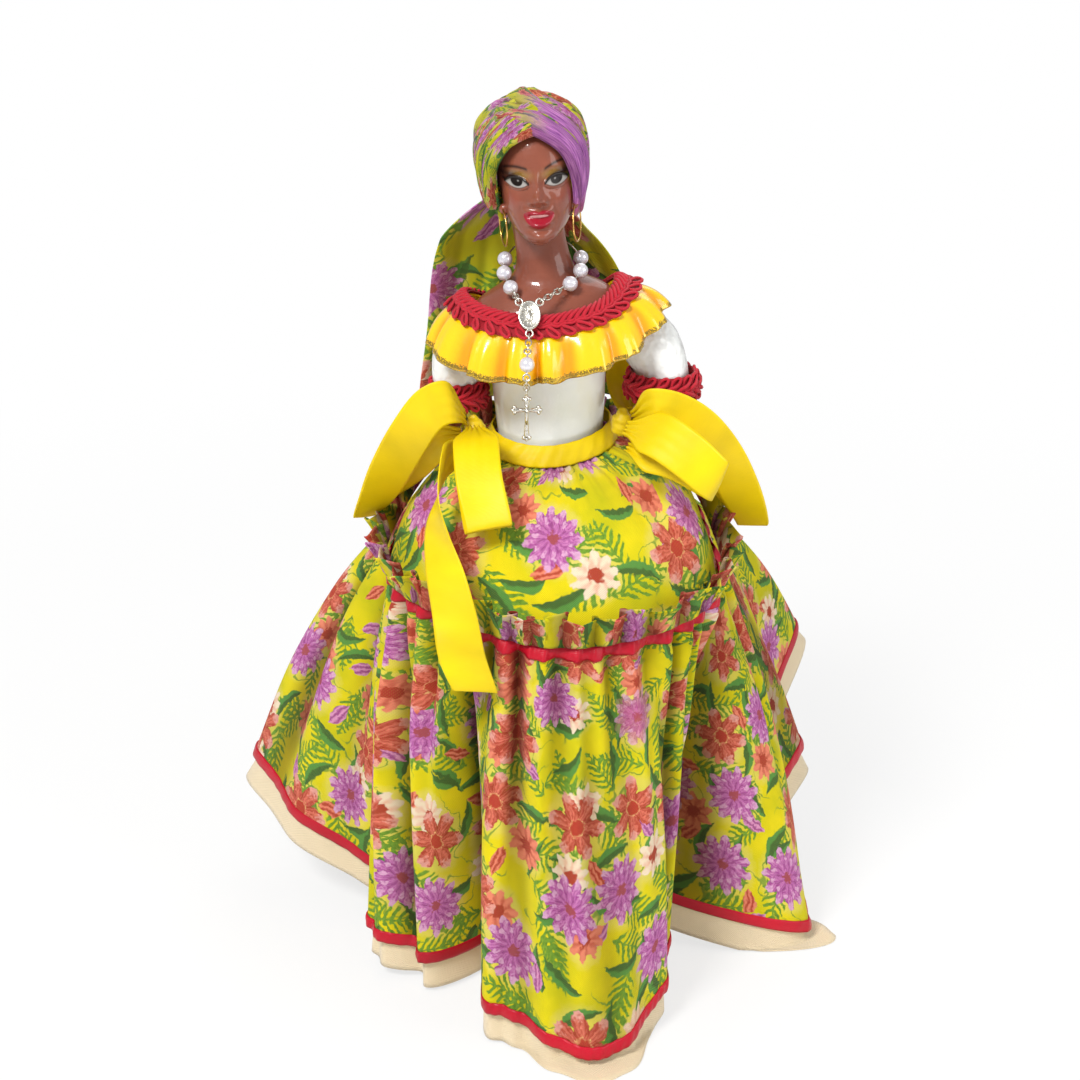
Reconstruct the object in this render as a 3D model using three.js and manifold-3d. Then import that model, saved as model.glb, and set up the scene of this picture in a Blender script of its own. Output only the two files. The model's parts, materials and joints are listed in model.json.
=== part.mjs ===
// A costume doll: a cast figure with bare shoulders and a wound headscarf, a pleated off-shoulder collar,
// puffed sleeves, a gathered two-tier skirt over a petticoat, satin bows at the hips and a bead rosary.
// Millimetres, +Z up, the doll faces -Y. The origin is the centre of the base's underside.
import * as THREE from "three";
import { mergeVertices } from "three/addons/utils/BufferGeometryUtils.js";
import Module from "manifold-3d";

const wasm = await Module();
wasm.setup();

// Driving dimensions.
const GAP = 0.3; // between pieces that touch
const CLOTH = 1; // a cloth's thickness, with its seam allowance
const BASE = { radius: 36, height: 5 };
const WAIST = { x: 2.2, z: 204, tilt: 4.6, roll: 1.4, halfWidth: 22.2, halfDepth: 16.8 };
const HEAD = { x: -1.8, y: -1, z: 300, rolled: -4 };
const RIBBON = { width: 16, thickness: 0.7 }; // the satin of the waistband and bows
const TRIM = { width: 5, thickness: 0.6 }; // the narrow red ribbon
const HEADING = { height: 9, gathers: 32 }; // the frill above the seam
const BRAID = { thickness: 1.5, lobe: 5.5 }; // the looped braid of neckline and cuffs
const BEAD = { radius: 2.8, bore: 0.9 };
const WIRE = 0.35; // radius of the wire of the rosary and the earrings
const LINK = { length: 4, width: 2.9, pitch: 2.3 };
const EYE = { radius: 1.6, wire: 0.4 }; // the rings on the medal, the cross and the ends of wires
const PIN = 4.4; // from a bead's centre to the eye of its wire

// The seam between yoke and flounce: angle from the front towards the doll's left, radius, height.
const SEAM = [
  [-180, 34, 197], [-140, 38, 194], [-113, 45, 184], [-90, 54.5, 166], [-62, 59.5, 159.5], [-30, 61, 157],
  [0, 64, 152], [30, 66, 152.5], [65, 66.5, 156], [90, 60, 166], [112, 54, 181], [142, 42, 192],
];
// The hem's crests and valleys, given the same way.
const HEM = [
  [-180, 106, 60], [-163, 92, 66], [-142, 126, 60], [-129, 104, 58], [-115, 130, 47], [-82, 60, 24],
  [-62, 73, 17], [-44, 66, 14], [-30, 42, 14], [-12, 83, 13], [13, 97, 3.5], [36, 76, 15],
  [60, 44, 27], [84, 105, 4], [103, 84, 32], [118, 124, 48], [125, 118, 66], [131, 141, 88],
  [148, 104, 76], [164, 117, 62],
];
const SKIRT = { columns: 84, rows: [0, 0.3, 0.65, 1], puff: 0.1 };
const PETTICOAT = { inside: 1.9, reach: 1.075, thickness: 0.7 };

// Materials.
function paint(colour, roughness, metalness = 0) {
  return new THREE.MeshStandardMaterial({ color: new THREE.Color(colour), roughness, metalness });
}
const SKIN = paint("#6b3322", 0.22);
const WHITE = paint("#f0eee8", 0.35);
const PLASTER = paint("#e9e2d2", 0.8);
const YELLOW_GLOSS = paint("#f7b500", 0.18);
const PRINT = paint("#d8cf1c", 0.85);
const RED_BRAID = paint("#c3122c", 0.7);
const RED_RIBBON = paint("#c20f2b", 0.5);
const SATIN = paint("#f2d600", 0.35);
const TULLE = paint("#e8d9b4", 0.8);
const PEARL = paint("#e9e8ee", 0.2);
const SILVER = paint("#cfccc2", 0.3, 1);
const GOLD = paint("#d9a441", 0.3, 1);

// Small helpers.
const rad = THREE.MathUtils.degToRad;
const lerp = THREE.MathUtils.lerp;
const clamp = THREE.MathUtils.clamp;
const vec = (x, y, z) => new THREE.Vector3(x, y, z);
const range = (n) => Array.from({ length: n }, (_, i) => i);
const shares = (n) => range(n + 1).map((i) => i / n);
const bump = (x, centre, width) => Math.exp(-(((x - centre) / width) ** 2));
const power = (x, exponent) => Math.sign(x) * Math.abs(x) ** exponent;

// A point at an angle round the figure, 0 in front and 90 at the doll's left hand.
function around(angle, radius, z, x = 0) {
  return vec(x + radius * Math.sin(rad(angle)), -radius * Math.cos(rad(angle)), z);
}

// The row of a closed table at or before an angle, the next row, and how far between them the angle is.
function between(table, angle) {
  const a = ((((angle + 180) % 360) + 360) % 360) - 180;
  const i = table.findLastIndex((row) => row[0] <= a);
  const next = i + 1 < table.length ? table[i + 1] : [table[0][0] + 360, ...table[0].slice(1)];
  return { i, next, share: (a - table[i][0]) / (next[0] - table[i][0]) };
}

// A smooth curve through the rows of a closed table.
function curved(table, angle) {
  const { i, next, share } = between(table, angle);
  const n = table.length;
  const before = table[(i + n - 1) % n];
  const after = table[(i + 2) % n];
  const through = (k) => {
    const [p0, p1, p2, p3] = [before[k], table[i][k], next[k], after[k]];
    const a = 2 * p1 + (p2 - p0) * share;
    const b = (2 * p0 - 5 * p1 + 4 * p2 - p3) * share ** 2;
    return (a + b + (3 * p1 - p0 - 3 * p2 + p3) * share ** 3) / 2;
  };
  return { radius: through(1), z: through(2) };
}

// Rounded crests and valleys at the rows of a closed table.
function folded(table, angle) {
  const { i, next, share } = between(table, angle);
  const eased = (1 - Math.cos(Math.PI * share)) / 2;
  const at = (k) => lerp(table[i][k], next[k], 0.8 * eased + 0.2 * share);
  return { radius: at(1), z: at(2) };
}

// Triangles to a geometry whose faces point out.
function closed(points, faces) {
  const volume = faces.reduce((sum, [a, b, c]) => (
    sum + points[a].dot(vec(0, 0, 0).crossVectors(points[b], points[c]))
  ), 0);
  const turned = volume < 0 ? faces.map(([a, b, c]) => [a, c, b]) : faces;
  const geometry = new THREE.BufferGeometry().setFromPoints(points);
  geometry.setIndex(turned.flat());
  geometry.computeVertexNormals();
  return geometry;
}

// A solid through rings of points, capped at both ends or, as a loop, joined to its own start.
function loft(rings, loop = false) {
  const n = rings[0].length;
  const points = rings.flat();
  const faces = [];
  const last = loop ? rings.length : rings.length - 1;
  for (let r = 0; r < last; r++) {
    const [low, high] = [r * n, ((r + 1) % rings.length) * n];
    for (let k = 0; k < n; k++) {
      const next = (k + 1) % n;
      faces.push([low + k, low + next, high + next], [low + k, high + next, high + k]);
    }
  }
  for (const [start, flip] of loop ? [] : [[0, true], [(rings.length - 1) * n, false]]) {
    const middle = points.length;
    points.push(range(n).reduce((sum, k) => sum.add(points[start + k]), vec(0, 0, 0)).divideScalar(n));
    for (let k = 0; k < n; k++) {
      const [a, b] = [start + k, start + ((k + 1) % n)];
      faces.push(flip ? [middle, b, a] : [middle, a, b]);
    }
  }
  return closed(points, faces);
}

// A cloth: point(u, v) gives its outer face, and it is thick inwards. A ring of cloth runs right round in u.
function cloth(point, columns, rows, { thickness = CLOTH, lift = 0, ring = true } = {}) {
  const stations = ring ? columns : columns + 1;
  const step = 1e-3;
  const [first, last] = [rows[0], rows.at(-1)];
  const points = rows.flatMap((v) => range(stations).flatMap((i) => {
    const u = i / columns;
    const alongU = point(u + step, v).sub(point(u - step, v));
    const alongV = point(u, Math.min(v + step, last)).sub(point(u, Math.max(v - step, first)));
    const normal = vec(0, 0, 0).crossVectors(alongV, alongU).normalize();
    const at = point(u, v);
    return [at.clone().addScaledVector(normal, lift), at.clone().addScaledVector(normal, lift - thickness)];
  }));
  const index = (i, j, side) => (j * stations + (i % stations)) * 2 + side;
  const down = rows.length - 1;
  const faces = [];
  const quad = (a, b, c, d) => faces.push([a, b, c], [a, c, d]);
  for (let i = 0; i < columns; i++) {
    for (let j = 0; j < down; j++) {
      quad(index(i, j, 0), index(i + 1, j, 0), index(i + 1, j + 1, 0), index(i, j + 1, 0));
      quad(index(i, j, 1), index(i, j + 1, 1), index(i + 1, j + 1, 1), index(i + 1, j, 1));
    }
    quad(index(i, 0, 1), index(i + 1, 0, 1), index(i + 1, 0, 0), index(i, 0, 0));
    quad(index(i, down, 0), index(i + 1, down, 0), index(i + 1, down, 1), index(i, down, 1));
  }
  for (let j = 0; j < down && !ring; j++) {
    quad(index(0, j, 0), index(0, j + 1, 0), index(0, j + 1, 1), index(0, j, 1));
    quad(index(columns, j, 1), index(columns, j + 1, 1), index(columns, j + 1, 0), index(columns, j, 0));
  }
  return closed(points, faces);
}

// An ellipse of points round a centre.
function ellipse(centre, halfU, halfV, count) {
  return range(count).map((k) => {
    const a = (2 * Math.PI * k) / count;
    return centre.clone().addScaledVector(halfU, Math.cos(a)).addScaledVector(halfV, Math.sin(a));
  });
}

// A limb or a wire: round sections along a curve, with a radius for each share of its length.
function limb(points, radius, steps, sides) {
  const curve = new THREE.CatmullRomCurve3(points, false, "centripetal");
  const { normals, binormals } = curve.computeFrenetFrames(steps, false);
  return loft(shares(steps).map((share, i) => {
    const size = radius(share);
    const across = normals[i].clone().multiplyScalar(size);
    return ellipse(curve.getPointAt(share), across, binormals[i].clone().multiplyScalar(size), sides);
  }));
}

// Booleans.
function solid(geometry) {
  const bare = geometry.clone();
  bare.deleteAttribute("normal");
  bare.deleteAttribute("uv");
  const merged = mergeVertices(bare, 1e-4);
  return new wasm.Manifold(new wasm.Mesh({
    numProp: 3,
    vertProperties: merged.attributes.position.array,
    triVerts: new Uint32Array(merged.index.array),
  }));
}

// A body as a geometry, without the slivers that a cut leaves.
function geometryOf(body) {
  const mesh = body.simplify(0.005).getMesh();
  const geometry = new THREE.BufferGeometry();
  geometry.setAttribute("position", new THREE.BufferAttribute(mesh.vertProperties, 3));
  geometry.setIndex(new THREE.BufferAttribute(mesh.triVerts, 1));
  geometry.computeVertexNormals();
  return geometry;
}

function united(geometries) {
  return geometries.map(solid).reduce((all, one) => all.add(one));
}

// The body that a cut leaves, without the chips beside it.
function largest(body) {
  return body.decompose().reduce((a, b) => (b.volume() > a.volume() ? b : a));
}

function ball(centre, sizes, detail = 10) {
  const rows = Math.round(detail * 0.7);
  return new THREE.SphereGeometry(1, detail, rows).scale(...sizes).translate(centre.x, centre.y, centre.z);
}

// The stand: a turned base and the cast lower body that carries the skirt.
function basePlate() {
  const { radius, height } = BASE;
  const profile = [[0, 0], [radius - 1, 0], [radius, 1], [radius, height - 2], [radius - 2, height], [0, height]];
  const turned = new THREE.LatheGeometry(profile.map(([r, z]) => new THREE.Vector2(r, z)), 26);
  return turned.rotateX(Math.PI / 2);
}

function lowerBody() {
  const foot = BASE.height + GAP;
  const top = WAIST.z - WAIST.tilt - 1;
  const outline = new THREE.Path();
  outline.moveTo(0, foot);
  outline.lineTo(31, foot);
  outline.bezierCurveTo(33, 60, 38, 95, 38, 130);
  outline.bezierCurveTo(38, 165, 23, 180, 16, top);
  outline.lineTo(0, top);
  const turned = new THREE.LatheGeometry(outline.getPoints(4), 24);
  return turned.rotateX(Math.PI / 2).scale(1, 0.85, 1);
}

// The skirt. Its waist dips in front and to the doll's right, and its tiers meet at the seam.
const turn = (u) => 360 * u - 180;
const seam = (angle) => curved(SEAM, angle);
const hem = (angle) => folded(HEM, angle);

function waistPoint(angle, grow, rise) {
  const [width, depth] = [WAIST.halfWidth + grow, WAIST.halfDepth + grow];
  const radius = 1 / Math.hypot(Math.sin(rad(angle)) / width, Math.cos(rad(angle)) / depth);
  const lean = WAIST.roll * Math.sin(rad(angle)) - WAIST.tilt * Math.cos(rad(angle));
  return around(angle, radius, WAIST.z + lean + rise, WAIST.x);
}

function yokePoint(angle, share) {
  const start = waistPoint(angle, 0, 0);
  const edge = seam(angle);
  const end = around(angle, edge.radius, edge.z);
  const quarter = (share * Math.PI) / 2;
  const out = 0.65 * Math.sin(quarter) + 0.35 * share;
  const down = 0.65 * (1 - Math.cos(quarter)) + 0.35 * share;
  return vec(lerp(start.x, end.x, out), lerp(start.y, end.y, out), lerp(start.z, end.z, down));
}

function flouncePoint(angle, share) {
  const top = seam(angle);
  const edge = hem(angle);
  const puff = share < 1 ? SKIRT.puff * Math.sin(Math.PI * share) : 0;
  return around(angle, lerp(top.radius, edge.radius, share + puff), lerp(top.z - 0.8, edge.z, share));
}

const skirtYoke = () => cloth((u, v) => yokePoint(turn(u), v), 40, shares(3));
const skirtFlounce = () => cloth((u, v) => flouncePoint(turn(u), v), SKIRT.columns, SKIRT.rows);

function petticoat() {
  const lowest = 0.5;
  const point = (u, v) => {
    const angle = turn(u);
    const [top, edge] = [seam(angle).z, hem(angle).z];
    return flouncePoint(angle, Math.min(v, (top - lowest) / (top - edge)));
  };
  return cloth(point, SKIRT.columns, [...SKIRT.rows.slice(1), PETTICOAT.reach], {
    lift: -PETTICOAT.inside, thickness: PETTICOAT.thickness,
  });
}

// The narrow red ribbon, sewn over the seam and along the hem.
function redRibbon(from, columns, lift) {
  const length = 148;
  return cloth((u, v) => flouncePoint(turn(u), from + (v * TRIM.width) / length), columns, [0, 1], {
    lift: lift + TRIM.thickness, thickness: TRIM.thickness,
  });
}

// The flounce's gathered heading, a frill that stands up round the yoke above the red ribbon.
function headingRuffle() {
  const frill = (u, v) => {
    const angle = turn(u);
    const edge = seam(angle);
    const gather = (0.1 + 1.8 * v) * Math.sin(rad(angle) * HEADING.gathers);
    return around(angle, edge.radius + 1.1 + 3.1 * v + gather, edge.z + 0.6 + HEADING.height * v);
  };
  return cloth(frill, HEADING.gathers * 4, [0, 1], { thickness: 0.7 });
}

// The waistband, a satin ribbon round the waist.
function waistband() {
  return cloth((u, v) => waistPoint(turn(u), 0.6 + 1.2 * v, 7.6 - 6.8 * v), 28, shares(2), {
    thickness: RIBBON.thickness, lift: RIBBON.thickness,
  });
}

// The cast figure. Rows of the trunk: height, centre, half width, half depth.
const BODICE = [
  [200, 2, 0, 18.8, 13.8], [207, 1.9, 0, 19, 13.6], [217, 1.6, -0.6, 19.8, 14.8],
  [227, 1.3, -2, 20.4, 17], [234, 1, -2.8, 20.6, 18.6], [240, 0.8, -2.4, 20.8, 17.4], [246, 0.5, -1, 21, 14],
];
const SHOULDERS = [
  [248.2, 0.3, -1, 24, 13.5], [251, 0.3, -1.6, 26, 15], [255, 0.2, -2, 26, 15], [259, 0.6, -1.4, 23, 12.8],
  [262, 0.6, -0.6, 18, 10.6], [264.5, 0.2, 0, 13, 9.4], [267.5, -0.2, 0.4, 10.4, 8.8],
  [272, -0.8, 0.9, 9.3, 8.5], [277, -1.7, 1.1, 8.9, 8.6], [284, -2.7, 1.4, 8.9, 9], [292, -3.4, 1.2, 8, 8.6],
];

function trunk(rows, count, tilt = 0) {
  return loft(rows.map(([z, x, y, halfWidth, halfDepth]) => (
    ellipse(vec(x, y, z), vec(halfWidth, 0, tilt * halfWidth), vec(0, halfDepth, 0), count)
  )));
}

// The head has its own frame: eyes at the origin's height, rolled on the neck.
const HEAD_POSE = new THREE.Matrix4().makeTranslation(HEAD.x, HEAD.y, HEAD.z - 15)
  .multiply(new THREE.Matrix4().makeRotationY(rad(HEAD.rolled)))
  .multiply(new THREE.Matrix4().makeTranslation(0, 0, 15));

// Rows: height, half width, depth in front, depth behind.
const SKULL = [
  [-20.8, 3.6, 16.2, -7], [-19, 6.8, 18.8, 2], [-16, 9.4, 19.6, 5], [-12, 11.2, 19.4, 8], [-8, 12.2, 19, 11],
  [-3, 13.1, 18.8, 14], [3, 13.7, 19, 16], [9, 13.6, 18.7, 17], [14, 12.6, 17, 16], [18, 10.2, 13.6, 12],
  [20.6, 6.4, 8.6, 7],
];
const SCARF = [
  [-14.5, 13.2, 8, 15], [-11, 14.4, 12, 18], [-6, 15.8, 16, 21], [0, 17.2, 19.4, 23], [7, 18.2, 21.2, 23.8],
  [13, 18.2, 20.8, 22.8], [19, 16.6, 18.6, 20], [24, 13, 14.2, 15.4], [27, 8.4, 9, 9.6], [28.2, 3, 3.2, 3.6],
];
const SCARF_SHIFT = -1.3; // towards the doll's right

// The values of a table of rows at a height, on a smooth curve.
function rowAt(rows, z) {
  const i = clamp(rows.findLastIndex((row) => row[0] <= z), 0, rows.length - 2);
  const share = (z - rows[i][0]) / (rows[i + 1][0] - rows[i][0]);
  const before = rows[Math.max(i - 1, 0)];
  const after = rows[Math.min(i + 2, rows.length - 1)];
  return range(4).map((k) => {
    const [p0, p1, p2, p3] = [before[k], rows[i][k], rows[i + 1][k], after[k]];
    const a = 2 * p1 + (p2 - p0) * share;
    const b = (2 * p0 - 5 * p1 + 4 * p2 - p3) * share ** 2;
    return (a + b + (3 * p1 - p0 - 3 * p2 + p3) * share ** 3) / 2;
  });
}

function oval(rows, angle, z, x = 0, grow = 0) {
  const [, halfWidth, front, behind] = rowAt(rows, z);
  const depth = Math.cos(angle) > 0 ? front : behind;
  const across = power(Math.sin(angle), 0.92) * (halfWidth + grow);
  return vec(x + across, -power(Math.cos(angle), 0.86) * (depth + grow), z);
}

// How far the face stands out at a place on it.
function relief(x, z) {
  const side = Math.abs(x);
  const nose = 3.7 * bump(x, 0, 1.7) * bump(z, -4.4, 2.4) + 1.6 * bump(x, 0, 1.3) * bump(z, 0.4, 4.5);
  const wings = 1.5 * bump(side, 2.3, 1.1) * bump(z, -5, 1.3);
  const lips = 1.4 * bump(x, 0, 4.2) * (bump(z, -9.3, 1) + bump(z, -12.9, 1.1));
  const chin = 1.4 * bump(x, 0, 4) * bump(z, -17.6, 2.4);
  const brow = 0.7 * bump(side, 6.6, 4) * bump(z, 6, 1.6);
  const socket = 1.9 * bump(side, 6.6, 3.2) * bump(z, 1.6, 2.8);
  const eyeball = 1.6 * bump(side, 6.8, 2.3) * bump(z, 1.4, 1.4);
  const cheek = 0.8 * bump(side, 8.4, 3) * bump(z, -5, 3.5);
  return nose + wings + lips + chin + brow + eyeball + cheek - socket;
}

function head() {
  const [columns, rows] = [28, 19];
  const top = SKULL.at(-1)[0];
  return loft(shares(rows).map((share) => {
    const z = lerp(SKULL[0][0], top, share);
    return range(columns).map((k) => {
      const even = (2 * Math.PI * k) / columns;
      const angle = even - 0.6 * Math.sin(even);
      const at = oval(SKULL, angle, z);
      at.y -= Math.cos(angle) > 0 ? relief(at.x, z) * Math.min(1, 2 * Math.cos(angle)) : 0;
      return at;
    });
  })).applyMatrix4(HEAD_POSE);
}

// A hoop through each ear lobe hangs below the scarf.
const HOOP = { radius: 6.6, at: vec(12.6, -7.2, -15.6), turned: 12 };
function hoop(side, wire, steps = 22) {
  const made = new THREE.TorusGeometry(HOOP.radius, wire, 5, steps).rotateY(Math.PI / 2);
  made.rotateZ(rad(-side * HOOP.turned)).translate(side * HOOP.at.x, HOOP.at.y, HOOP.at.z);
  return made.applyMatrix4(HEAD_POSE);
}

function headAndShoulders() {
  const lobes = [1, -1].map((side) => (
    ball(vec(side * 11.8, HOOP.at.y, HOOP.at.z + HOOP.radius - 0.3), [2.1, 1.7, 1.8], 8).applyMatrix4(HEAD_POSE)
  ));
  const whole = united([trunk(SHOULDERS, 24, 0.07), head(), ...lobes]);
  return geometryOf(largest(whole.subtract(united([hoop(1, 0.85, 12), hoop(-1, 0.85, 12)]))));
}

// The wound headscarf, with two bands that cross over the forehead, open for face and neck.
function scarfBand(path, width) {
  const line = new THREE.CatmullRomCurve3(path.map(([a, z]) => vec(a * 0.33, z, 0)), false, "centripetal");
  return cloth((u, v) => {
    const at = line.getPoint(clamp(u, 0, 1));
    const along = line.getTangent(clamp(u, 0, 1));
    const off = width * (v - 0.5);
    const crown = 0.5 + 0.9 * (1 - (2 * v - 1) ** 2);
    const tucked = clamp(6 * Math.min(u, 1 - u), 0, 1);
    const rise = lerp(-1.4, crown, tucked);
    return oval(SCARF, rad((at.x + along.y * off) / 0.33), at.y - along.x * off, SCARF_SHIFT, rise);
  }, 11, shares(2), { ring: false, thickness: 2.2 }).applyMatrix4(HEAD_POSE);
}

function turban() {
  const columns = 26;
  const wound = loft(shares(10).map((share) => {
    const z = lerp(SCARF[0][0], SCARF.at(-1)[0], share);
    return range(columns).map((k) => oval(SCARF, (2 * Math.PI * k) / columns, z, SCARF_SHIFT));
  })).applyMatrix4(HEAD_POSE);
  const skull = loft(shares(7).map((share) => {
    const z = lerp(-21, 21.6, share);
    return range(18).map((k) => oval(SKULL, (2 * Math.PI * k) / 18, clamp(z, -20.8, 20.6), 0, 0.8).setZ(z));
  })).applyMatrix4(HEAD_POSE);
  const neck = new THREE.CylinderGeometry(10.2, 10.2, 40, 18).rotateX(Math.PI / 2).translate(-2.6, 1.4, 272);
  // The face's opening is wide below the ears, runs up the cheeks and arches to a point.
  const face = new THREE.Shape();
  face.moveTo(-20, -35);
  face.lineTo(20, -35);
  face.lineTo(20, -10);
  face.lineTo(14, -6);
  face.lineTo(13, -1);
  face.quadraticCurveTo(12.6, 11, 2.4, 14);
  face.quadraticCurveTo(-11, 12.4, -12.4, -1);
  face.lineTo(-13, -6);
  face.lineTo(-20, -10);
  const opening = new THREE.ExtrudeGeometry(face, { depth: 40, bevelEnabled: false, curveSegments: 4 })
    .rotateX(Math.PI / 2).applyMatrix4(HEAD_POSE);
  const left = scarfBand([[50, 22], [14, 21.5], [-18, 17], [-44, 8], [-60, -8]], 9);
  const right = scarfBand([[-50, 22], [-16, 20.5], [14, 17.6], [46, 9.5], [68, -8]], 10);
  const hollow = united([wound, left, right])
    .subtract(solid(skull)).subtract(solid(opening)).subtract(solid(neck));
  return geometryOf(largest(hollow));
}

// The scarf's end hangs down behind, in folds.
function veil() {
  return cloth((u, v) => {
    const side = 2 * u - 1;
    const width = lerp(30, 82, v ** 0.4);
    const folds = (1 + 2.4 * v) * Math.cos(3.2 * Math.PI * side + 0.6);
    const drop = 5 * Math.sin(Math.PI * v);
    const y = lerp(27, 40, v ** 0.8) + drop + folds - 9 * side * side * (1 - 0.4 * v);
    return vec((side * width) / 2 - 6, y, lerp(286, 209, v) + 1.5 * side);
  }, 20, shares(3), { ring: false, thickness: 0.8 });
}

// The pleated collar that lies off the shoulders, and the braid along its neckline.
const NECKLINE = [
  [-180, 15.5, 249], [-135, 20, 251], [-90, 27, 258], [-45, 25, 256], [0, 20.5, 254.5],
  [45, 24, 258], [90, 24.5, 263], [135, 20.5, 253],
];
const COLLAR_EDGE = [
  [-180, 26, 233], [-135, 34, 236], [-90, 41, 242], [-45, 38.5, 236.5], [0, 31, 234.5],
  [45, 38, 241.5], [90, 43.5, 254], [135, 34, 241],
];
const PLEATS = 16;

function collarPoint(angle, share) {
  const top = curved(NECKLINE, angle);
  const edge = curved(COLLAR_EDGE, angle);
  const pleat = 1.2 * share * Math.sin(rad(angle) * PLEATS);
  const bulge = 2 * Math.sin(Math.PI * share);
  const radius = lerp(top.radius, edge.radius, share) + pleat + bulge;
  return around(angle, radius, lerp(top.z, edge.z, share) + 0.9 * bulge);
}

const collarRuffle = () => cloth((u, v) => collarPoint(turn(u), v), PLEATS * 5, shares(2), { thickness: 1.1 });

function collarBraid() {
  const lobes = 30;
  return cloth((u, v) => {
    const scallop = 0.035 * Math.abs(Math.sin(Math.PI * u * lobes));
    return collarPoint(turn(u), lerp(-0.04 - scallop, 0.4 + scallop, v));
  }, lobes * 2, [0, 1], { lift: 0.9 + BRAID.thickness, thickness: BRAID.thickness });
}

// Arms: a puffed sleeve, the braid round its cuff, and a bare forearm that reaches out to hold the skirt.
const ARMS = {
  left: {
    side: 1, sleeve: [vec(31, 2, 247), vec(37, 0, 240.5), vec(41, -3, 233), vec(42, -4, 227), vec(42, -4, 223.2)],
    puff: [6.8, 10.4, 10.9, 9.8, 9.5, 9.3], cuff: vec(41.7, -3.7, 226.8), cuffRadius: 13.4,
    forearm: [vec(42, -4, 222.6), vec(42, -4, 219), vec(48, 0.6, 209), vec(57.6, 4.4, 199), vec(66, 5, 192)],
    hand: vec(69.4, 4.4, 187),
  },
  right: {
    side: -1, sleeve: [vec(-29.8, 2, 245), vec(-31.5, 2, 238), vec(-31.4, 1.6, 230), vec(-31.4, 1.2, 217.6)],
    puff: [5.2, 8.2, 9.2, 8.9, 8.2], cuff: vec(-31.4, 1.2, 221.8), cuffRadius: 10.9,
    forearm: [vec(-31.4, 1.2, 217), vec(-31.4, 1.2, 214), vec(-37, 5.4, 206), vec(-45.6, 7.6, 196.6), vec(-53, 8, 191)],
    hand: vec(-56.2, 7, 186.4),
  },
};

function sleeve({ sleeve: path, puff }) {
  const width = new THREE.CatmullRomCurve3(puff.map((radius, i) => vec(i, radius, 0)));
  return limb(path, (share) => width.getPoint(share).y, 6, 16);
}

// The looped braid round the cuff: a scalloped ring.
function cuffBraid({ cuff, cuffRadius }) {
  const lobes = Math.round((2 * Math.PI * cuffRadius) / BRAID.lobe);
  return cloth((u, v) => {
    const scallop = 1.1 * Math.abs(Math.sin(Math.PI * u * lobes)) * (0.5 - v);
    const radius = cuffRadius + 0.5 * Math.sin(Math.PI * v);
    return around(turn(u), radius, 8 * (0.5 - v) + scallop).add(cuff);
  }, lobes * 2, shares(2), { thickness: BRAID.thickness });
}

// A forearm whose fingers are closed on a pinch of cloth.
function forearm({ forearm: path, hand, side }) {
  const wrist = path.at(-1);
  const pieces = [
    limb(path, (share) => lerp(5.2, 2.9, share ** 0.8), 5, 8),
    limb([wrist, hand], () => 2.8, 1, 7),
    ball(hand, [3.9, 3.2, 4.2], 8),
  ];
  for (const finger of range(4)) {
    const knuckle = hand.clone().add(vec(side * (1.6 - 0.5 * finger), -2.6, 2.4 - 1.7 * finger));
    const tip = knuckle.clone().add(vec(-side * 4.4, -0.6, -1));
    const bend = knuckle.clone().lerp(tip, 0.5).add(vec(0, -0.9, 0));
    pieces.push(limb([knuckle, bend, tip], () => 0.95, 2, 4));
  }
  return geometryOf(united(pieces));
}

// A satin ribbon along a curve: rows of a point and the direction of the ribbon's width there. It is
// pinched where it is tied, which a loop is at both ends.
function ribbon(rows, steps, isLoop = true) {
  const curve = new THREE.CatmullRomCurve3(rows.map(([at]) => at), false, "centripetal");
  const turns = new THREE.CatmullRomCurve3(rows.map(([, across]) => across.clone().normalize()));
  const width = (share) => {
    const open = Math.min(share, isLoop ? 1 - share : 1);
    return lerp(RIBBON.width * 0.45, RIBBON.width, clamp(open * 7, 0, 1));
  };
  return cloth((u, v) => {
    const share = clamp(u, 0, 1);
    const across = turns.getPoint(share).normalize();
    return curve.getPoint(share).addScaledVector(across, width(share) * (v - 0.5));
  }, steps, [0, 1], { ring: false, thickness: RIBBON.thickness, lift: RIBBON.thickness / 2 });
}

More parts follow.
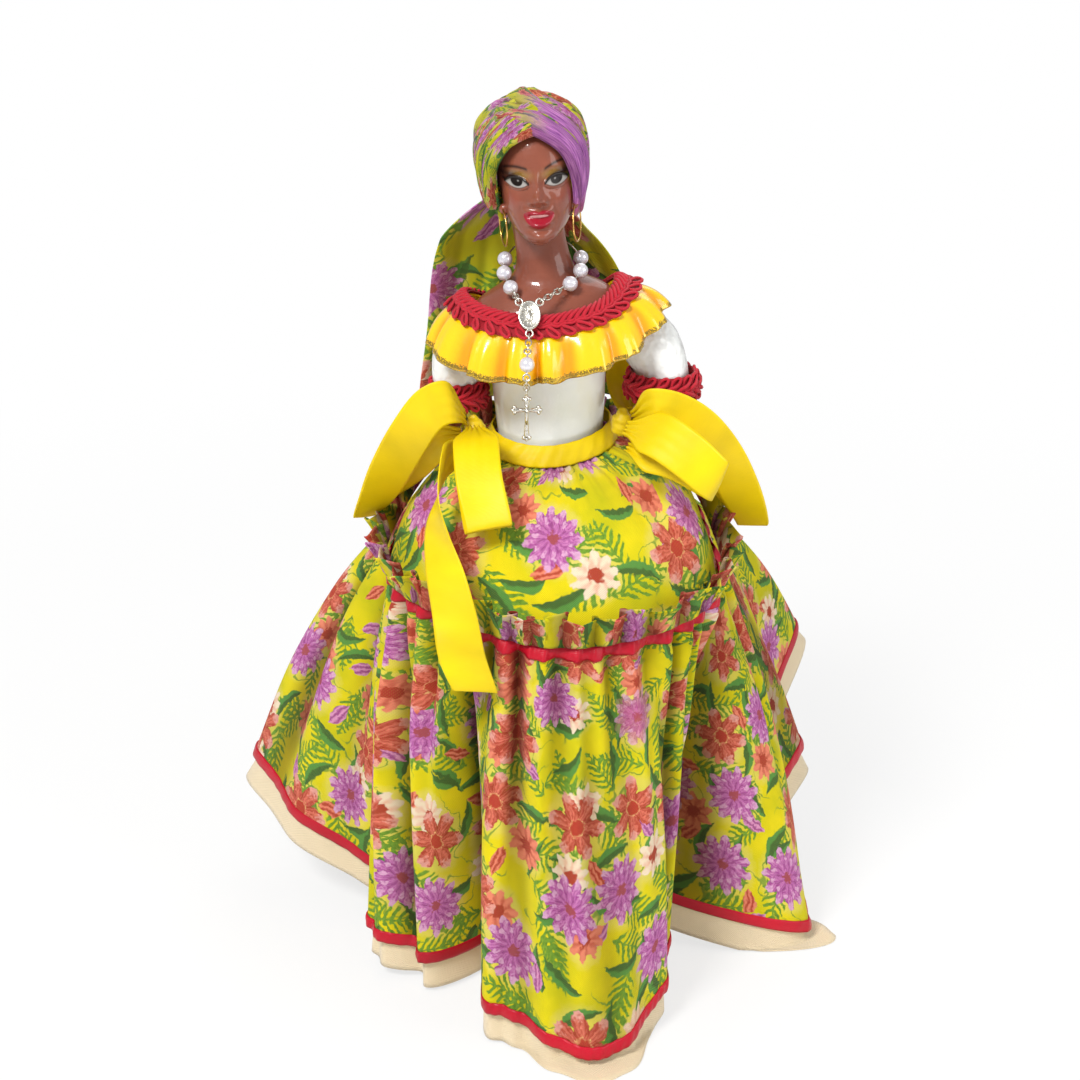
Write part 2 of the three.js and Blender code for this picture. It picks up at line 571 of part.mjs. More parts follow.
const BOWS = {
  left: {
    knot: { at: vec(27, -12.4, 214.6), sizes: [3.2, 3.2, 4.8] },
    side: [
      [vec(31, -13, 216.6), vec(0.3, 0, -1)], [vec(37.5, -24.6, 223), vec(0.2, 0, -1)],
      [vec(45.8, -24, 221), vec(-0.3, 0, -1)], [vec(54.6, -21.6, 214.4), vec(-0.6, 0, -0.8)],
      [vec(63, -17.6, 203), vec(-0.8, 0.2, -0.6)], [vec(69.8, -13, 189), vec(-0.85, 0.4, -0.4)],
      [vec(75, -7.6, 176), vec(-0.7, 0.7, -0.3)], [vec(75.6, -4.4, 172.6), vec(-0.6, 0.8, -0.3)],
      [vec(73.2, -4.2, 177), vec(-0.6, 0.75, -0.3)], [vec(66, -8.6, 192), vec(-0.8, 0.3, -0.5)],
      [vec(55, -14, 205.4), vec(-0.7, 0, -0.6)], [vec(44, -17.4, 212.4), vec(-0.3, 0, -1)],
      [vec(36, -15.4, 213.4), vec(0, 0, -1)], [vec(31, -11.6, 213), vec(0, 0, -1)],
    ],
    front: [
      [vec(28.4, -18.2, 214.6), vec(-0.4, -0.5, -0.8)], [vec(38, -31.6, 216.8), vec(-0.5, -0.3, -0.8)],
      [vec(48, -40.6, 212.8), vec(-0.5, -0.2, -0.8)], [vec(57, -44, 205.6), vec(-0.4, 0, -0.9)],
      [vec(59.6, -41.6, 203), vec(-0.3, 0.2, -0.9)], [vec(56, -37.4, 204), vec(-0.4, 0, -0.9)],
      [vec(47, -33, 208), vec(-0.5, -0.1, -0.8)], [vec(37, -26, 208.6), vec(-0.5, -0.3, -0.8)],
      [vec(29.6, -17.4, 208.4), vec(-0.5, -0.4, -0.8)],
    ],
    short: [
      [vec(29.6, -6, 215.8), vec(0.3, 0.6, 0.6)], [vec(31.4, 2.8, 216.6), vec(0.7, 0.65, 0.2)],
      [vec(30, 10.4, 222.6), vec(0.93, 0.35, 0)], [vec(29, 12.4, 233), vec(0.95, 0.3, 0)],
    ],
  },
  right: {
    knot: { at: vec(-24.8, -9.6, 211), sizes: [3.2, 3.2, 4.8] },
    side: [
      [vec(-28.6, -12.8, 216.4), vec(0.2, 0, -1)], [vec(-32.6, -21.4, 225), vec(0.2, 0, -0.98)],
      [vec(-40.4, -22.4, 222.4), vec(0.5, 0, -0.87)], [vec(-48, -19, 211), vec(0.7, 0.1, -0.7)],
      [vec(-55, -14.4, 197.4), vec(0.8, 0.3, -0.5)], [vec(-61.4, -9.2, 184), vec(0.65, 0.65, -0.35)],
      [vec(-66, -4.4, 176.4), vec(0.4, 0.9, -0.3)], [vec(-65.2, -1, 175.6), vec(0.45, 0.85, -0.3)],
      [vec(-60, -4.6, 183), vec(0.5, 0.8, -0.3)], [vec(-48.6, -10.4, 198), vec(0.75, 0.2, -0.5)],
      [vec(-38.6, -14, 209.6), vec(0.6, 0, -0.8)], [vec(-29.4, -9.6, 209), vec(0.3, 0, -1)],
    ],
    front: [
      [vec(-24.8, -14, 213.2), vec(1, 0.1, 0.1)], [vec(-24, -29, 213), vec(1, 0.1, 0.1)],
      [vec(-22.6, -43, 204.8), vec(1, 0.1, 0.15)], [vec(-19.4, -50.6, 192), vec(1, 0, 0.2)],
      [vec(-19.2, -51.4, 189.4), vec(1, 0, 0.2)], [vec(-20, -48.4, 190), vec(1, 0, 0.2)],
      [vec(-22.6, -38, 201.4), vec(1, 0.1, 0.15)], [vec(-24, -24, 206), vec(1, 0.1, 0.1)],
      [vec(-24.6, -15.6, 206.6), vec(1, 0.1, 0.1)],
    ],
    tail: [
      [vec(-30.2, -15.4, 207.6), vec(-0.4, -0.2, 1)], [vec(-34.6, -34, 206), vec(-0.1, -0.7, 0.7)],
      [vec(-36.8, -46, 198.4), vec(0.1, -0.9, 0.4)], [vec(-36.6, -55.6, 190.6), vec(0.5, -0.8, 0.2)],
      [vec(-33.4, -64.6, 178.6), vec(0.85, -0.5, 0.1)], [vec(-30.4, -70.4, 166), vec(0.95, -0.3, 0.1)],
      [vec(-28, -73.6, 152), vec(1, 0, 0)], [vec(-23.6, -73.6, 139), vec(0.95, 0.3, -0.2)],
    ],
  },
};

// The rosary. A strand of pearls lies round the neck, and two chains carry a medal with a cross below it.
const MEDAL = { centre: vec(-5.4, -25, 257), lean: 34, halfWidth: 3.8, halfHeight: 5.2 };
const STRAND = [
  vec(-11.9, -12.6, 263.4), vec(-14.2, -7.2, 267.2), vec(-14, -0.8, 270.6), vec(-6.2, 12.4, 275.2),
  vec(4.4, 12.6, 275.6), vec(12.4, -0.6, 271), vec(12.2, -7, 268), vec(8.6, -12.6, 264.8),
];

function bead() {
  const start = Math.asin(BEAD.bore / BEAD.radius);
  const profile = shares(5).map((share) => {
    const a = lerp(start, Math.PI - start, share);
    return new THREE.Vector2(BEAD.radius * Math.sin(a), -BEAD.radius * Math.cos(a));
  });
  return new THREE.LatheGeometry([...profile, profile[0].clone()], 10);
}

// A small ring of wire round a centre, in the plane that a direction stands square to.
function ring(centre, normal = vec(0, 0, 1)) {
  const turned = new THREE.Quaternion().setFromUnitVectors(vec(0, 0, 1), normal.clone().normalize());
  return new THREE.TorusGeometry(EYE.radius - EYE.wire, EYE.wire, 5, 10).applyQuaternion(turned)
    .translate(centre.x, centre.y, centre.z);
}

// One link: an oval of wire that is longest along Y.
function link() {
  const [halfLength, halfWidth] = [LINK.length / 2 - WIRE, LINK.width / 2 - WIRE];
  return loft(range(8).map((i) => {
    const a = (2 * Math.PI * (i + 0.5)) / 8;
    const out = vec(Math.cos(a) / halfWidth, Math.sin(a) / halfLength, 0).normalize();
    const at = vec(halfWidth * Math.cos(a), halfLength * Math.sin(a), 0);
    return ellipse(at, out.multiplyScalar(WIRE), vec(0, 0, WIRE), 5);
  }), true);
}

function medal() {
  const { halfWidth, halfHeight } = MEDAL;
  const disc = new THREE.Shape();
  disc.absellipse(0, 0, halfWidth - 0.3, halfHeight - 0.3, 0, 2 * Math.PI);
  const plate = new THREE.ExtrudeGeometry(disc, {
    depth: 0.6, bevelThickness: 0.3, bevelSize: 0.3, bevelSegments: 1, curveSegments: 6,
  });
  const field = ball(vec(0, 0, 2.3), [halfWidth - 0.9, halfHeight - 1.1, 1.7], 10);
  const boss = ball(vec(0, 0, 0.7), [0.9, 1.7, 0.5], 6);
  const eyes = [vec(-3.5, 4.6, 0.3), vec(3.5, 4.6, 0.3), vec(0, -halfHeight - 1.3, 0.3)];
  return geometryOf(solid(plate).subtract(solid(field)).add(united([boss, ...eyes.map((eye) => ring(eye))])));
}

// The cross hangs from its eye, the origin: budded ends and a small raised figure.
function crucifix() {
  const arms = -6.6;
  const bar = (width, height, y) => new THREE.BoxGeometry(width, height, 1.2).translate(0, y, 0);
  const buds = [vec(-3.9, arms, 0), vec(3.9, arms, 0), vec(0, -16.4, 0), vec(0, -2.6, 0)];
  return geometryOf(united([
    ring(vec(0, 0, 0), vec(1, 0, 0)), bar(1.7, 14, -9.4), bar(7.8, 1.7, arms),
    ...buds.map((at) => ball(at, [1.25, 1.25, 0.9], 6)),
    ball(vec(0, arms + 1.4, 0.9), [0.7, 0.8, 0.6], 5),
    ball(vec(0, arms - 2, 0.7), [0.8, 2.8, 0.6], 6),
    limb([vec(-3, arms + 0.7, 0.7), vec(0, arms - 0.2, 0.7), vec(3, arms + 0.7, 0.7)], () => 0.4, 2, 4),
  ]));
}

const doll = new THREE.Group();
function add(name, geometry, material, parent = doll) {
  const mesh = new THREE.Mesh(geometry, material);
  mesh.name = name;
  parent.add(mesh);
  return mesh;
}

// Links from an eye towards a place, each turned a quarter from the last. An eye is a centre and the
// direction square to its ring; the eye that the last link passes through is returned.
function chain(name, eye, toward, count) {
  const hold = EYE.radius - EYE.wire;
  const aim = toward.clone().sub(eye.at).normalize();
  const within = aim.clone().projectOnPlane(eye.normal).normalize();
  const from = eye.at.clone().addScaledVector(within, hold).addScaledVector(aim, -hold);
  const along = toward.clone().sub(from).normalize();
  const reach = LINK.length / 2 - WIRE;
  const even = vec(0, 0, 0).crossVectors(along, eye.normal).normalize();
  const square = [even, vec(0, 0, 0).crossVectors(even, along)];
  for (const i of range(count)) {
    const mesh = add(`${name}_link_${i + 1}`, link(), SILVER);
    const normal = square[i % 2];
    const side = vec(0, 0, 0).crossVectors(along, normal);
    mesh.quaternion.setFromRotationMatrix(new THREE.Matrix4().makeBasis(side, along, normal));
    mesh.position.copy(from).addScaledVector(along, reach + i * LINK.pitch);
  }
  const length = 2 * reach + (count - 1) * LINK.pitch;
  return { at: from.addScaledVector(along, length), normal: square[count % 2] };
}

// Where a wire leaves its eye for a place: on the ring, on the side that faces the place.
function leaving(eye, toward) {
  const within = toward.clone().sub(eye.at).projectOnPlane(eye.normal).normalize();
  return eye.at.clone().addScaledVector(within, EYE.radius - EYE.wire);
}

function onMedal(x, y) {
  const lean = rad(MEDAL.lean);
  return MEDAL.centre.clone().add(vec(x, y * Math.sin(lean), y * Math.cos(lean)));
}

function rosary() {
  const plate = add("medal", medal(), SILVER);
  plate.position.copy(MEDAL.centre);
  plate.rotation.x = Math.PI / 2 - rad(MEDAL.lean);
  const face = vec(0, -Math.cos(rad(MEDAL.lean)), Math.sin(rad(MEDAL.lean)));

  // The two chains, from the medal's upper eyes to the ends of the strand's wire.
  const [first, last] = [STRAND[0], STRAND.at(-1)];
  const right = chain("right_chain", { at: onMedal(-3.5, 4.6), normal: face }, first, 2);
  const left = chain("left_chain", { at: onMedal(3.5, 4.6), normal: face }, last, 4);
  const path = [leaving(right, first), ...STRAND, leaving(left, last)];
  path.splice(5, 0, vec(-0.9, 14, 276));
  add("neck_wire", geometryOf(united([
    limb(path, () => WIRE, 32, 5), ring(right.at, right.normal), ring(left.at, left.normal),
  ])), SILVER);
  const curve = new THREE.CatmullRomCurve3(path, false, "centripetal");
  const samples = shares(400).map((t) => ({ t, at: curve.getPoint(t) }));
  STRAND.forEach((centre, i) => {
    const nearest = samples.reduce((a, b) => (b.at.distanceTo(centre) < a.at.distanceTo(centre) ? b : a));
    const mesh = add(`neck_pearl_${i + 1}`, bead(), PEARL);
    mesh.position.copy(nearest.at);
    mesh.quaternion.setFromUnitVectors(vec(0, 1, 0), curve.getTangent(nearest.t));
  });

  // The drop: a chain down the collar, a pearl on its pin, and the cross.
  const low = { at: onMedal(0, -MEDAL.halfHeight - 1.3), normal: face };
  const top = chain("drop", low, low.at.clone().add(vec(-0.08, -0.7, -0.7)), 3);
  const down = vec(-0.04, -0.3, -0.95).normalize();
  const pearl = top.at.clone().addScaledVector(down, PIN);
  const foot = { at: pearl.clone().addScaledVector(down, PIN), normal: vec(0, 0.95, -0.3).normalize() };
  add("drop_pin", geometryOf(united([
    limb([leaving(top, pearl), pearl.clone().addScaledVector(down, -BEAD.radius),
      pearl.clone().addScaledVector(down, BEAD.radius), leaving(foot, pearl)], () => WIRE, 5, 5),
    ring(top.at, top.normal), ring(foot.at, foot.normal),
  ])), SILVER);
  const dropPearl = add("drop_pearl", bead(), PEARL);
  dropPearl.position.copy(pearl);
  dropPearl.quaternion.setFromUnitVectors(vec(0, 1, 0), down);
  const end = chain("cross", foot, foot.at.clone().add(vec(0, 0, -1)), 2);
  const cross = add("crucifix", crucifix(), SILVER);
  cross.position.copy(end.at);
  cross.rotation.x = Math.PI / 2;
}

// The doll.
add("base_plate", basePlate(), PLASTER);
add("lower_body", lowerBody(), PLASTER);
add("skirt_yoke", skirtYoke(), PRINT);
add("skirt_flounce", skirtFlounce(), PRINT);
add("petticoat", petticoat(), TULLE);
add("seam_ribbon", redRibbon(-0.006, 56, 0.8), RED_RIBBON);
add("hem_ribbon", redRibbon(1 - TRIM.width / 148, SKIRT.columns, GAP), RED_RIBBON);
add("heading_ruffle", headingRuffle(), PRINT);
add("waistband", waistband(), SATIN);
add("bodice", trunk(BODICE, 24), WHITE);
add("head_and_shoulders", headAndShoulders(), SKIN);
add("collar_ruffle", collarRuffle(), YELLOW_GLOSS);
add("collar_braid", collarBraid(), RED_BRAID);
for (const [side, arm] of Object.entries(ARMS)) {
  add(`sleeve_${side}`, sleeve(arm), WHITE);
  add(`cuff_braid_${side}`, cuffBraid(arm), RED_BRAID);
  add(`forearm_${side}`, forearm(arm), SKIN);
  add(`earring_${side}`, hoop(arm.side, WIRE), GOLD);
}
add("turban", turban(), PRINT);
add("veil", veil(), PRINT);
for (const [side, bow] of Object.entries(BOWS)) {
  add(`bow_knot_${side}`, ball(bow.knot.at, bow.knot.sizes, 12), SATIN);
  add(`bow_side_loop_${side}`, ribbon(bow.side, 24), SATIN);
  add(`bow_front_loop_${side}`, ribbon(bow.front, 17), SATIN);
}
add("bow_short_end_left", ribbon(BOWS.left.short, 6, false), SATIN);
add("bow_tail_right", ribbon(BOWS.right.tail, 13, false), SATIN);
rosary();

export default doll;
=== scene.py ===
# A costume doll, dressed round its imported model: fine cloth, braid, satin, lacquer and a bead rosary.
# Forms are worked out in millimetres and made in metres. +Z is up and the doll faces -Y.
import json
import math
from functools import partialmethod

import bpy
import numpy as np
from mathutils import Matrix, Vector


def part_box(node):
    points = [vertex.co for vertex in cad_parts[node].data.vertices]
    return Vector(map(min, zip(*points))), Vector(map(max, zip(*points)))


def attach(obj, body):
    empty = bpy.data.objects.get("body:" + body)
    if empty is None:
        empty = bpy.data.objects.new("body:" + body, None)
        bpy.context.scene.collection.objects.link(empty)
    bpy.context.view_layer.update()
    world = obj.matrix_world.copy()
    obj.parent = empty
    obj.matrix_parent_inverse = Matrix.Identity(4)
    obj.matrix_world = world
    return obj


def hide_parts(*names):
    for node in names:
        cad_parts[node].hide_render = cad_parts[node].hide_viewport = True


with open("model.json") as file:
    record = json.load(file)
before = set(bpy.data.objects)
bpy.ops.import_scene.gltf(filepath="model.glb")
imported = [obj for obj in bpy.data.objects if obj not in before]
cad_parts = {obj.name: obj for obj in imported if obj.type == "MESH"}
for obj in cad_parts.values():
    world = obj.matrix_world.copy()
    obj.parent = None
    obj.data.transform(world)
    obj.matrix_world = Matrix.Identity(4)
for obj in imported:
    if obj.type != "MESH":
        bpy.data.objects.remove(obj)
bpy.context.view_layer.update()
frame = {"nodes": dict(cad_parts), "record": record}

MM = 0.001
TAU = 2 * math.pi

# The camera, in metres and degrees; its focal length and half the frame's side in the photograph's pixels.
CAMERA = {"place": (-0.0018, -0.649, 0.427), "tilt": 68, "sensor": 36, "focal": 1895, "half_frame": 540}
# Each lamp: place and size in metres, and power in watts.
LAMPS = {
    "key": ((-0.5, -0.8, 1.2), 0.35, 17), "fill": ((0.9, -0.5, 0.6), 0.6, 4),
    "back": ((0.2, 0.9, 1.0), 0.8, 3),
}
LAMPS_AIM = (0, 0, 0.2)
WORLD_LIGHT = 0.5

# The driving dimensions of the model, in millimetres and degrees.
WAIST = {"x": 2.2, "z": 204, "tilt": 4.6, "roll": 1.4, "half_width": 22.2, "half_depth": 16.8}
RIBBON_WIDTH = 16
TRIM_WIDTH = 5
FLOUNCE_LENGTH = 148
COTTON_THICKNESS = 0.6
SATIN_THICKNESS = 0.5
PETTICOAT_INSET = 2.6
PETTICOAT_CLEARANCE = 0.9
HEAD = {"x": -1.8, "y": -1, "z": 300, "neck": 15, "rolled": -4}
BEAD_RADIUS = 2.65
BRAID_PITCH = 5
# Half the braid's width on the collar and on the cuffs; how far down the collar it lies; the cuffs' places.
COLLAR_BRAID, CUFF_BRAID = 5.6, 5.2
BRAID_AT = 0.17
CUFFS = {"left": ((41.7, -3.7, 226.8), 13.4), "right": ((-31.4, 1.2, 221.8), 10.9)}
# Each knot's centre and lean, and the half sizes of both.
KNOTS = {"bow_knot_left": ((27, -12.4, 214.6), 8), "bow_knot_right": ((-24.8, -9.6, 211), -8)}
KNOT_SIZES = (3.6, 3.5, 5)

# Closed curves round the doll, as angle from the front, radius and height: the seam between yoke and flounce,
# the crests and valleys of the hem, the neckline and the collar's edge.
SEAM = np.array([
    [-180, 34, 197], [-140, 38, 194], [-113, 45, 184], [-90, 54.5, 166], [-62, 59.5, 159.5], [-30, 61, 157],
    [0, 64, 152], [30, 66, 152.5], [65, 66.5, 156], [90, 60, 166], [112, 54, 181], [142, 42, 192],
])
HEM = np.array([
    [-180, 106, 60], [-163, 92, 66], [-142, 126, 60], [-129, 104, 58], [-115, 130, 47], [-82, 60, 24],
    [-62, 73, 17], [-44, 66, 14], [-30, 42, 14], [-12, 83, 13], [13, 97, 3.5], [36, 76, 15],
    [60, 44, 27], [84, 105, 4], [103, 84, 32], [118, 124, 48], [125, 118, 66], [131, 141, 88],
    [148, 104, 76], [164, 117, 62],
])
NECKLINE = np.array([
    [-180, 15.5, 249], [-135, 20, 251], [-90, 27, 258], [-45, 25, 256], [0, 20.5, 254.5],
    [45, 24, 258], [90, 24.5, 263], [135, 20.5, 253],
])
COLLAR_EDGE = np.array([
    [-180, 26, 233], [-135, 34, 236], [-90, 41, 242], [-45, 38.5, 236.5], [0, 31, 234.5],
    [45, 38, 241.5], [90, 43.5, 254], [135, 34, 241],
])


# The camera stands where the photograph was taken from.
def make_camera():
    data = bpy.data.cameras.new("camera")
    data.sensor_width = CAMERA["sensor"]
    data.lens = CAMERA["sensor"] / 2 * CAMERA["focal"] / CAMERA["half_frame"]
    camera = bpy.data.objects.new("camera", data)
    camera.location = CAMERA["place"]
    camera.rotation_euler = (math.radians(CAMERA["tilt"]), 0, 0)
    bpy.context.collection.objects.link(camera)
    bpy.context.scene.camera = camera


make_camera()


# Small helpers.
def lerp(a, b, share):
    return a + (b - a) * share


def smooth(low, high, x):
    t = np.clip((x - low) / (high - low), 0, 1)
    return t * t * (3 - 2 * t)


def bump(x, centre, width):
    return np.exp(-(((x - centre) / width) ** 2))


def unit(v):
    return v / np.maximum(np.linalg.norm(v, axis=-1, keepdims=True), 1e-9)


def around(angle, radius, z, x=0.0):
    """Points at an angle round the figure, 0 in front and 90 at the doll's left hand."""
    a = np.radians(angle)
    return np.stack(np.broadcast_arrays(x + radius * np.sin(a), -radius * np.cos(a), z), axis=-1)


def between(rows, angle):
    """The rows of a closed table before and after an angle, and the share of the way between them."""
    a = (np.asarray(angle, float) + 180) % 360 - 180
    i = np.searchsorted(rows[:, 0], a, side="right") - 1
    after = (i + 1) % len(rows)
    share = (a - rows[i, 0]) / ((rows[after, 0] - rows[i, 0]) % 360)
    return i, after, share[..., None]


def eased(p0, p1, p2, p3, s):
    """A place a share s of the way from p1 to p2, on a smooth curve through all four."""
    cubic = (3 * p1 - p0 - 3 * p2 + p3) * s**3 + (2 * p0 - 5 * p1 + 4 * p2 - p3) * s**2
    return (cubic + (p2 - p0) * s + 2 * p1) / 2


def curved(rows, angle):
    """Radius and height on a smooth curve through the rows of a closed table."""
    i, after, s = between(rows, angle)
    p = rows[:, 1:]
    value = eased(p[i - 1], p[i], p[after], p[(i + 2) % len(rows)], s)
    return value[..., 0], value[..., 1]


def folded(rows, angle):
    """Radius and height between the crests and valleys of a closed table."""
    i, after, s = between(rows, angle)
    value = lerp(rows[i, 1:], rows[after, 1:], 0.8 * (1 - np.cos(np.pi * s)) / 2 + 0.2 * s)
    return value[..., 0], value[..., 1]


def spline(points, shares):
    """A smooth open curve through points, read at shares of its length in points."""
    p = np.asarray(points, float)
    at = np.clip(np.asarray(shares, float), 0, 1) * (len(p) - 1)
    i = np.minimum(at.astype(int), len(p) - 2)
    s = (at - i)[..., None]
    return eased(p[np.maximum(i - 1, 0)], p[i], p[i + 1], p[np.minimum(i + 2, len(p) - 1)], s)


def length_along(path):
    """How far along a path each of its points lies."""
    return np.concatenate([[0], np.cumsum(np.linalg.norm(np.diff(path, axis=0), axis=1))])


def circle(count):
    """So many angles right round, in radians."""
    return np.linspace(0, TAU, count + 1)[:-1]


def waves(x, parts):
    """Gathers, no two alike, with broad crests and narrow valleys. Parts: count, height, phase."""
    total = 0
    for count, height, phase in parts:
        drift = 0.9 * np.sin(3 * x + phase) + 0.6 * np.sin(7 * x + 2 * phase)
        swing = count * x + phase + drift
        total = total + height * (np.sin(swing) + 0.25 * np.cos(2 * swing))
    return total


# Meshes.
def make_object(name, points, faces, material, smooth_faces=True):
    mesh = bpy.data.meshes.new(name)
    mesh.from_pydata((np.asarray(points, float) * MM).tolist(), [], [list(map(int, f)) for f in faces])
    mesh.materials.append(material)
    mesh.polygons.foreach_set("use_smooth", [smooth_faces] * len(mesh.polygons))
    mesh.update()
    obj = bpy.data.objects.new(name, mesh)
    bpy.context.collection.objects.link(obj)
    return obj


def normals(points, ring=False):
    across = np.roll(points, -1, 1) - np.roll(points, 1, 1) if ring else np.gradient(points, axis=1)
    return unit(np.cross(np.gradient(points, axis=0), across))


def sheet(name, points, material, ring=False, cut=None, thickness=0.5, lift=0.0):
    """Cloth through rows of points that run down, each row towards the doll's left, with an outer face
    and an inner one. The cut is its flat width and length, over which the print and weave are laid."""
    rows, columns = points.shape[:2]
    out = normals(points, ring)
    faces_at = [points + out * lift, points + out * (lift - thickness)]
    size = rows * columns
    index = np.arange(size).reshape(rows, columns)
    span = columns if ring else columns - 1
    after = np.roll(index, -1, axis=1)[:, :span]
    here = index[:, :span]
    outer = np.stack([here[:-1], here[1:], after[1:], after[:-1]], axis=-1).reshape(-1, 4)
    inner = outer[:, ::-1] + size
    edges = [np.stack([here[0], after[0], after[0] + size, here[0] + size], axis=-1),
             np.stack([after[-1], here[-1], here[-1] + size, after[-1] + size], axis=-1)]
    if not ring:
        for side, flip in ((index[:, 0], False), (index[:, -1], True)):
            strip = np.stack([side[1:], side[:-1], side[:-1] + size, side[1:] + size], axis=-1)
            edges.append(strip[:, ::-1] if flip else strip)
    faces = np.concatenate([outer, inner, *edges])
    obj = make_object(name, np.concatenate([f.reshape(-1, 3) for f in faces_at]), faces, material)
    run = np.arange(columns) / span
    if ring:
        steps = np.linalg.norm(np.roll(points[-1], -1, axis=0) - points[-1], axis=-1)
        run = (np.cumsum(steps) - steps) / steps.sum()
    lay_cut(obj, rows, run, ring, cut)
    return obj


def lay_cut(obj, rows, run, ring, cut):
    """Writes each corner's place on the flat cloth, in millimetres. Run: each column's share of the width."""
    width, length = cut
    columns = len(run)
    loops = np.empty(len(obj.data.loops), dtype=int)
    obj.data.loops.foreach_get("vertex_index", loops)
    vertex = loops % (rows * columns)
    u, v = run[vertex % columns], (vertex // columns) / (rows - 1)
    if ring:
        per_face = u.reshape(-1, 4)
        wraps = (per_face.max(axis=1) > 0.75) & (per_face.min(axis=1) < 0.25)
        per_face[wraps[:, None] & (per_face < 0.25)] += 1
        u = per_face.reshape(-1)
    layer = obj.data.uv_layers.new(name="cut")
    layer.data.foreach_set("uv", np.stack([u * width, v * length], axis=-1).astype(np.float32).ravel())


def note(obj, name, values):
    """Keeps a number for each vertex: of a sheet, for each place on both of its faces."""
    whole = np.zeros(len(obj.data.vertices), dtype=np.float32)
    flat = np.ravel(values)
    if len(flat) * 2 == len(whole):
        flat = np.tile(flat, 2)
    whole[:len(flat)] = np.clip(flat, 0, 1)
    obj.data.attributes.new(name, "FLOAT", "POINT").data.foreach_set("value", whole)


def walls(rows):
    """Faces round a stack of rings, given from below as the numbers of their vertices."""
    low, high = rows[:-1], rows[1:]
    return np.stack([low, np.roll(low, -1, 1), np.roll(high, -1, 1), high], axis=-1).reshape(-1, 4).tolist()


def ends(rows, bottom, top):
    """Fans of triangles from two more vertices to the lowest and the highest ring."""
    first, last = rows[0].tolist(), rows[-1].tolist()
    faces = []
    for k in range(len(first)):
        after = (k + 1) % len(first)
        faces += [[bottom, first[after], first[k]], [top, last[k], last[after]]]
    return faces


def tube(path, radius, sides=8, closed=False):
    """Vertices and faces of a round cord along a path; the radius may change along it."""
    path = np.asarray(path, float)
    n = len(path)
    ahead = np.roll(path, -1, 0) - np.roll(path, 1, 0) if closed else np.gradient(path, axis=0)
    ahead = unit(ahead)
    side = np.empty_like(path)
    side[0] = unit(np.cross(ahead[0], [0.31, 0.62, 0.72]))
    for i in range(1, n):
        side[i] = unit(side[i - 1] - ahead[i] * np.dot(side[i - 1], ahead[i]))
    up = np.cross(ahead, side)
    a = np.arange(sides) * TAU / sides
    r = np.broadcast_to(np.asarray(radius, float), (n,))[:, None, None]
    points = path[:, None] + r * (side[:, None] * np.cos(a)[:, None] + up[:, None] * np.sin(a)[:, None])
    index = np.arange(n * sides).reshape(n, sides)
    if closed:
        return points.reshape(-1, 3), walls(np.vstack([index, index[:1]]))
    return points.reshape(-1, 3), walls(index) + [index[0][::-1].tolist(), index[-1].tolist()]


def blob(centre, sizes, rings=12, sides=16):
    """Vertices and faces of an ellipsoid."""
    lat = np.linspace(0, np.pi, rings + 1)[1:-1]
    a = np.arange(sides) * TAU / sides
    body = np.stack([np.sin(lat)[:, None] * np.cos(a), np.sin(lat)[:, None] * np.sin(a),
                     np.cos(lat)[:, None] + 0 * a], axis=-1).reshape(-1, 3)
    points = np.vstack([body, [[0, 0, 1], [0, 0, -1]]]) * sizes + np.asarray(centre, float)
    index = np.arange(len(body)).reshape(-1, sides)[::-1]
    return points, walls(index) + ends(index, len(body) + 1, len(body))


def loft(rings):
    """Vertices and faces of a closed solid through rings of points, given from below."""
    rings = np.asarray(rings, float)
    index = np.arange(rings[..., 0].size).reshape(rings.shape[:2])
    points = np.vstack([rings.reshape(-1, 3), rings[0].mean(0), rings[-1].mean(0)])
    return points, walls(index) + ends(index, index.size, index.size + 1)


def joined(name, parts, material):
    """One object from several closed shapes."""
    points, faces, start = [], [], 0
    for some_points, some_faces in parts:
        points.append(some_points)
        faces += [[i + start for i in face] for face in some_faces]
        start += len(some_points)
    return make_object(name, np.vstack(points), faces, material)


def apply_modifiers(obj):
    depsgraph = bpy.context.evaluated_depsgraph_get()
    done = bpy.data.meshes.new_from_object(obj.evaluated_get(depsgraph))
    obj.modifiers.clear()
    obj.data = done


def refined(node, material, levels=2):
    """A finer copy of a node of the model, with its facets rounded."""
    source = frame["nodes"][node]
    mesh = bpy.data.meshes.new(node + "_fine")
    corners = [tuple(round(c, 7) for c in v.co) for v in source.data.vertices]
    order = {c: i for i, c in enumerate(dict.fromkeys(corners))}
    faces = []
    for polygon in source.data.polygons:
        face = list(dict.fromkeys(order[corners[i]] for i in polygon.vertices))
        if len(face) > 2:
            faces.append(face)
    mesh.from_pydata([list(c) for c in order], [], faces)
    mesh.materials.append(material)
    obj = bpy.data.objects.new(node + "_fine", mesh)
    bpy.context.collection.objects.link(obj)
    rounding = obj.modifiers.new("rounding", "SUBSURF")
    rounding.levels = rounding.render_levels = levels
    apply_modifiers(obj)
    obj.data.polygons.foreach_set("use_smooth", [True] * len(obj.data.polygons))
    return obj


def node_box(node):
    return (np.array(corner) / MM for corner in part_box(node))


def dress(obj, body, *nodes):
    """Puts a piece on a body in place of the model's nodes."""
    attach(obj, body)
    if nodes:
        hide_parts(*nodes)
    return obj


